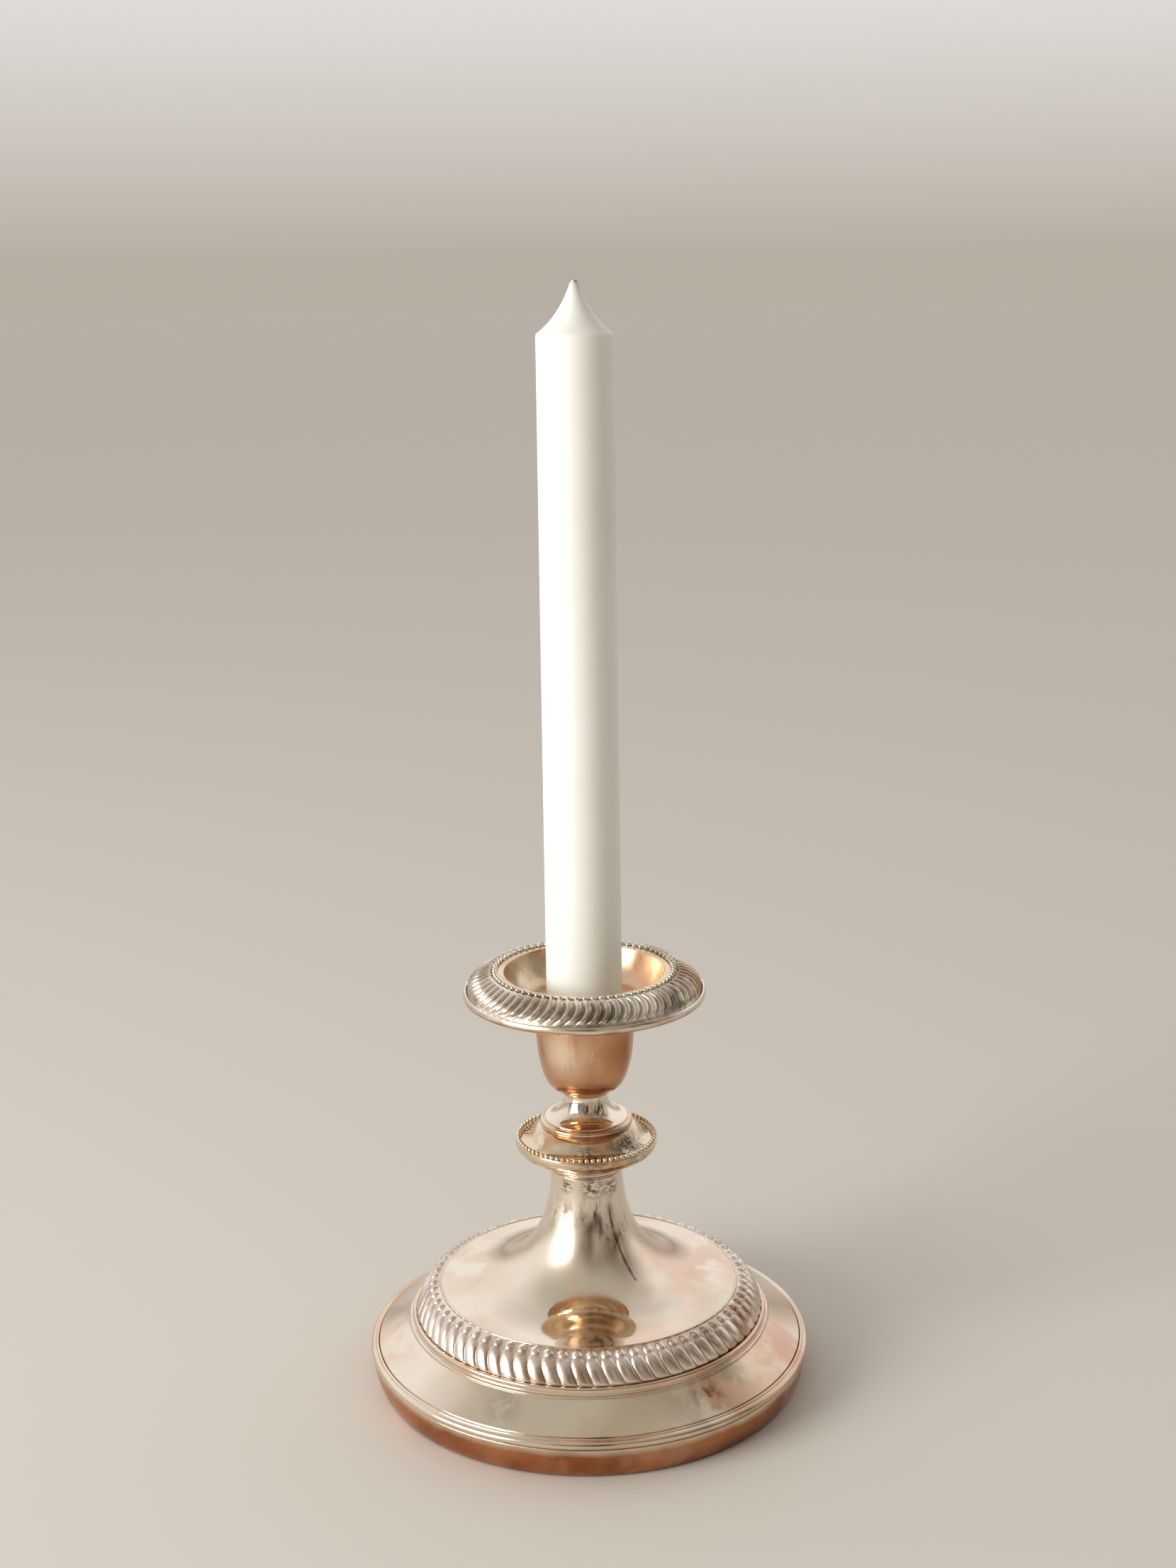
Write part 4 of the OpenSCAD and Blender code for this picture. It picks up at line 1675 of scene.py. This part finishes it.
@dataclass
class Nozzle:
    """The lift-out nozzle: a closed sleeve under a bordered drip pan.

    Attributes:
        sheet: thickness of the pan's sheet.
        sleeve_wall: wall of the sleeve.
        well: radius of the well at its top.
        seat: radius of the flat floor round the candle.
        lobes: number of lobes on the border.
        lobe_rise: height of a lobe above its valley.
        beads: number of beads.
        bead: radius of a bead.
        turned: how far borders and beads are turned from the front, in degrees.
    """

    sheet: float = 0.8
    sleeve_wall: float = 0.6
    well: float = 23.2
    seat: float = 15.2
    lobes: int = 70
    lobe_rise: float = 0.96
    beads: int = 70
    bead: float = 0.8
    turned: float = 0.3

    def build(self) -> None:
        """Makes, dresses and fixes the nozzle's pieces."""
        pale = WornPlate(
            name="pan_thin_plate",
            bright="#EAD8BC",
            blush="#DDAE84",
            haze="#D8CDB0",
            blush_share=0.8,
            haze_share=0.5,
            blush_mm=14.0,
            gloss=0.3,
            dirt_share=0.6,
            stains_and_painted_light=(
                StainAndPaintedLight((17, 10, 120), 16, "#D9A27C", 0.7, 8.0, 1.0, 0.3),
                StainAndPaintedLight((-14, 12, 121), 12, "#8F8268", 0.5, 5.0, 1.0, 0.5),
                StainAndPaintedLight((-15, 3, 118), 9, "#6A5138", 0.7, 2.5, 0.6, 0.62),
            ),
        ).make()
        copper = BareCopper(
            name="pan_edge_copper",
            copper="#C9986F",
            brown="#A06C45",
            rose="#E2C4A8",
            silver="#E8DFCE",
            gloss=0.2,
            fade_from=high("pan_edge_wire") - 0.9,
            fade_to=high("pan_edge_wire") - 1.9,
        ).make()
        border = StruckPlate(
            name="pan_border_plate",
            bright="#E6DDCF",
            # Dark valleys: tarnish and painted shade.
            valley="#2E2720",
            tarnish="#A38C73",
            valley_shade_share=0.95,
            tarnish_share=0.7,
            gloss=0.22,
            stains_and_painted_light=(
                StainAndPaintedLight((25, -17, 122), 14, "#4A463E", 0.75, 4.0),
                # Painted shade: the right side of the border, away from the window, darker and browner.
                StainAndPaintedLight((32, -4, 122), 22, "#A27650", 0.8, 7.0, 1.0, 0.25),
                StainAndPaintedLight((-6, -31, 122), 12, "#8C7A60", 0.5, 4.0),
                StainAndPaintedLight((6, -30, 122), 12, "#67655A", 0.55, 4.0),
            ),
        ).make()
        # Its dark valleys are tarnish and painted shade between the beads.
        beads = StruckPlate(
            name="pan_bead_plate", bright="#E6E2D4", valley_shade_share=0.9, tarnish_share=0.35
        ).make()
        inside = BareCopper(name="sleeve_copper", copper="#BE8A60", gloss=0.3).make()
        fit(self.make_sleeve(), Body.NOZZLE, inside, ["nozzle_sleeve"])
        fit(self.make_pan(), Body.NOZZLE, pale, ["drip_pan"])
        fit(self.make_border(), Body.NOZZLE, border, ["pan_gadroon"])
        fit(self.make_beading(), Body.NOZZLE, beads, ["pan_beading"])
        fit(self.make_edge(), Body.NOZZLE, copper, ["pan_edge_wire"])

    def make_sleeve(self) -> bpy.types.Object:
        """Turns the closed tube that the candle stands in.

        Returns:
            The piece.
        """
        out, foot, top = reach("nozzle_sleeve"), low("nozzle_sleeve"), high("nozzle_sleeve")
        inner = out - self.sleeve_wall
        outline = [(0, foot), (out, foot), (out, top), (inner, top), (inner, foot + self.sleeve_wall)]
        outline = eased(outline + [(0, foot + self.sleeve_wall)], 0.25)
        return finished(turn("nozzle_sleeve_copper", outline, SMALL_ROUND, closed=False), 2.0)

    def make_pan(self) -> bpy.types.Object:
        """Turns the pan: floor, well, ledge and the slope under the border.

        Returns:
            The piece.
        """
        floor, ledge = high("sconce_cup") + self.sheet, high("drip_pan")
        hole = reach("nozzle_sleeve") - self.sleeve_wall
        bead_seat = low("pan_beading")
        slope_foot = low("pan_gadroon")
        inner = self.ledge_radius()
        path = (
            [(hole, floor)]
            + bend(
                (self.seat, floor),
                (self.seat + (self.well - self.seat) * 0.72, floor),
                (self.well, ledge - 0.15),
                20,
            )
            + arc((self.well + 0.35, ledge - 0.35), 0.35, 160, 90, 4)
            + [(inner, ledge), (inner, bead_seat), (self.slope_radius(), bead_seat)]
            + [(reach("drip_pan") - 0.05, slope_foot - 0.15)]
        )
        return finished(turn("drip_pan_sheet", wall(path, -self.sheet, 0.1)), 3.0)

    def ledge_radius(self) -> float:
        """Radius at which the ledge steps down to the beads."""
        return (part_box("pan_beading")[1].x / MM) - 2 * self.bead + 0.05

    def slope_radius(self) -> float:
        """Radius at which the pan starts to slope."""
        return self.ledge_radius() + 2 * self.bead + 0.1

    def make_border(self) -> bpy.types.Object:
        """Strikes the border of hooked flutes.

        Returns:
            The piece.
        """
        foot, seat = low("pan_gadroon"), low("pan_beading")
        inner, outer = self.slope_radius(), reach("pan_edge_wire") - 1.1
        low_in, low_out = (inner, seat + 0.05), (outer, foot)
        face = bend(
            (outer, foot + 0.45),
            (inner + (outer - inner) * 0.62, seat - 0.4),
            (inner, seat + 0.45),
            20,
        )
        obj = StruckRing(
            name="pan_border_struck",
            repeats=self.lobes,
            face=face,
            under=[low_in, low_out],
            die=self.strike,
            across=14,
            start=-90 + self.turned - 180 / self.lobes,
        ).make()
        return finished(obj, 1.6, angle=60)

    def strike(self, phase: np.ndarray, length: np.ndarray) -> Relief:
        """The pan border's die: rounded flutes that hook to the right, then lean back.

        Args:
            phase: place across a flute, from -1 to 1.
            length: length along the face from its foot, in millimetres.

        Returns:
            The relief.
        """
        whole = float(length.max())
        down = 1 - length / whole
        lean = 11.5 * down - 16.5 * down**2
        plain = 1.1
        foot_fade = np.sqrt(np.clip((length - plain) / 0.9, 0, 1))
        head_fade = np.sqrt(np.clip((whole - length) / 0.7, 0, 1))
        across = np.clip(1 - np.abs(phase / 0.86) ** 2, 0, 1) ** 0.75
        rise = self.lobe_rise * across * foot_fade * head_fade
        return Relief(rise=rise, lean=lean)

    def make_beading(self) -> bpy.types.Object:
        """Makes the row of beads inside the border.

        Returns:
            The piece.
        """
        ring, seat = self.ledge_radius() + self.bead, low("pan_beading")
        row = BeadRow("pan_bead_row", self.beads, ring, self.bead, seat, start=-90 + self.turned)
        return finished(row.make(), 1.0, passes=0, angle=60)

    def make_edge(self) -> bpy.types.Object:
        """Turns the rolled edge, with a plain lip above it.

        Returns:
            The piece.
        """
        out, foot, top = reach("pan_edge_wire"), low("pan_edge_wire"), high("pan_edge_wire")
        inner = out - 1.0
        outline = (
            [(inner, foot)]
            + curve(
                (inner + 0.2, foot),
                (out + 0.05, foot),
                (out + 0.15, top - 0.7),
                (inner + 0.5, top),
                12,
            )
            + [(inner, top)]
        )
        return finished(turn("pan_edge_copper", eased(outline, 0.08, closed=True)), 2.0)


# ---------------------------------------------------------------- the candle


@dataclass
class Candle:
    """The dinner candle and its wick.

    Attributes:
        wick_hole: radius of the hole that the wick fills.
        shoulder: radius of the candle at its shoulder.
        tip: height of the hollow-sided tip.
    """

    wick_hole: float = 0.9
    shoulder: float = 10.6
    tip: float = 13.0

    def build(self) -> None:
        """Makes, dresses and fixes the candle and its wick."""
        fit(self.make_wax(), Body.CANDLE, DippedWax().make(), ["candle"])
        fit(self.make_wick(), Body.CANDLE, PlaitedCotton().make(), ["wick"])

    def make_wax(self) -> bpy.types.Object:
        """Turns the candle, slightly tapered, with its hollow-sided tip.

        Returns:
            The piece.
        """
        foot_r, foot, top = reach("candle"), low("candle"), high("candle")
        rim = top - self.tip
        taper, rise, rows = self.shoulder - foot_r, rim - foot, 24
        side = [(foot_r + taper * i / rows, foot + rise * i / rows) for i in range(1, rows)]
        outline = (
            [(self.wick_hole, foot), (foot_r - 0.5, foot)]
            + [(foot_r, foot + 0.5)]
            + side
            + arc((self.shoulder - 1.1, rim - 1.1), 1.1, 0, 52, 5)
            + bend(
                (self.shoulder - 1.1, rim + 0.3),
                (self.wick_hole + 3.1, rim + 4.8),
                (self.wick_hole + 0.4, top - 0.6),
                20,
            )
            + [(self.wick_hole + 0.3, top - 0.1), (self.wick_hole, top)]
        )
        return finished(turn("candle_wax", outline, SMALL_ROUND), 1.0)

    def make_wick(self) -> bpy.types.Object:
        """Turns the wick, with a rounded stub above the wax.

        Returns:
            The piece.
        """
        radius, foot, top = self.wick_hole, low("wick"), high("wick")
        outline = [(0, foot), (radius, foot), (radius, top - 0.6), (radius * 0.75, top - 0.15), (0, top)]
        return finished(turn("candle_wick", outline, 24, closed=False), 1.0)


# ---------------------------------------------------------------- inside


def dress_inside() -> None:
    """Finishes the pieces that stay as the frame has them."""
    steel = HiddenMetal("machined_steel", "#9A9894", 0.35).make()
    tin = HiddenMetal("tinned_sheet", "#A9A8A2", 0.45).make()
    for node in ("tie_rod", "head_washer", "foot_washer", "tie_nut"):
        dress(node, steel)
    dress("bottom_plate", tin)
    dress("base_weight", CastFilling().make())


# ---------------------------------------------------------------- studio


@dataclass
class Studio:
    """The pale floor, the soft light and the camera.

    Attributes:
        eye: place of the camera, in millimetres.
        pitch: how far the camera looks down, in degrees.
        roll: how far it is rolled, in degrees.
        lens: focal length on a 36 mm tall frame.
        frame_side: the frame's longer side, in millimetres.
        room_light: strength of the light from the room's walls.
        window: centre of the soft panel, in millimetres.
        window_size: the panel's width and height, in millimetres.
        window_power: the panel's power, in watts.
        aim: the point that the panel faces, in millimetres.
        floor_side: side of the floor, in metres.
    """

    eye: tuple[float, float, float] = (1.9, -587.0, 324.5)
    pitch: float = 13.77
    roll: float = -0.8
    lens: float = 49.1
    frame_side: float = 36.0
    room_light: float = 1.05
    window: tuple[float, float, float] = (-1350, -820, 560)
    window_size: tuple[float, float] = (900, 800)
    window_power: float = 25.0
    aim: tuple[float, float, float] = (0, 0, 90)
    floor_side: float = 30

    def build(self) -> None:
        """Lays the floor, lights the room and sets the camera up."""
        self.lay_floor()
        self.light_room()
        self.hang_window()
        self.set_camera()
        bpy.context.scene.view_settings.view_transform = "Standard"

    def lay_floor(self) -> None:
        """Adds a plain pale floor."""
        put_down()
        bpy.ops.mesh.primitive_plane_add(size=self.floor_side)
        floor = bpy.context.object
        floor.name = "floor"
        shader = Shader("pale_floor")
        floor.data.materials.append(shader.close(Base_Color=linear("#D9D4CD"), Roughness=0.8))

    def light_room(self) -> None:
        """Fills the room with soft light.

        A white wall stands behind the object, the ceiling is dimmer, and the
        room behind the camera is dim with a few darker uprights, which gives
        the polished metal something to mirror. A skirting runs all round, in
        the tone of the far floor, so that no edge shows where they meet.
        """
        world = bpy.data.worlds.new("pale_room")
        world.use_nodes = True
        room = Nodes(world.node_tree)
        way = room.add("ShaderNodeTexCoord").outputs["Generated"]
        x, y, z = room.add("ShaderNodeSeparateXYZ", {0: way}).outputs
        drawn_up = room.add("ShaderNodeVectorMath", {0: way, 1: (1.0, 1.0, 0.12)}, operation="MULTIPLY")
        upright = room.add("ShaderNodeTexNoise", {"Vector": drawn_up, "Scale": 4.2, "Detail": 2.0})
        dim_wall, uprights, left_wall = "#B5A797", "#432F20", "#F4F0EA"
        ceiling, back_wall, skirting = "#BDB7AC", "#FBFAFA", "#B2AA9E"
        layers = (
            (uprights, ((upright, 0.42, 0.58),)),
            (left_wall, ((x, -0.25, -0.85),)),
            (ceiling, ((z, 0.45, 0.95),)),
            (back_wall, ((y, -0.05, 0.45), (z, 1.0, 0.6))),
            (skirting, ((z, 0.22, 0.0),)),
        )
        tint: Any = dim_wall
        for colour, spans in layers:
            shares = [
                room.add("ShaderNodeMapRange", {"Value": value, "From Min": start, "From Max": stop})
                for value, start, stop in spans
            ]
            tint = room.over(tint, colour, *shares)
        light = room.add("ShaderNodeBackground", {"Color": tint, "Strength": self.room_light})
        room.add("ShaderNodeOutputWorld", {0: light})
        bpy.context.scene.world = world

    def hang_window(self) -> None:
        """Hangs a soft panel of daylight that faces the object."""
        put_down()
        spot = Vector(self.window) * MM
        bpy.ops.object.light_add(type="AREA", location=spot)
        lamp = bpy.context.object
        lamp.name = "window"
        lamp.rotation_euler = (Vector(self.aim) * MM - spot).to_track_quat("-Z", "Y").to_euler()
        lamp.data.shape = "RECTANGLE"
        lamp.data.size, lamp.data.size_y = (side * MM for side in self.window_size)
        lamp.data.energy = self.window_power
        lamp.data.color = linear("#FFFEFC")[:3]

    def set_camera(self) -> None:
        """Sets the camera at the height and tilt of a person at the table."""
        put_down()
        bpy.ops.object.camera_add(location=Vector(self.eye) * MM)
        camera = bpy.context.object
        camera.name = "camera"
        look = Euler((math.radians(90 - self.pitch), 0, 0)).to_matrix()
        camera.rotation_euler = (look @ Matrix.Rotation(math.radians(self.roll), 3, "Z")).to_euler()
        camera.data.sensor_fit = "AUTO"
        camera.data.sensor_width = self.frame_side
        camera.data.lens = self.lens
        bpy.context.scene.camera = camera


def main() -> None:
    """Builds the whole scene in order."""
    logging.basicConfig(level=logging.INFO, format="%(message)s")
    studio = Studio()
    studio.build()
    Base().build()
    Stem().build()
    Knop().build()
    Sconce().build()
    Nozzle().build()
    Candle().build()
    dress_inside()


if __name__ == "__main__":
    main()
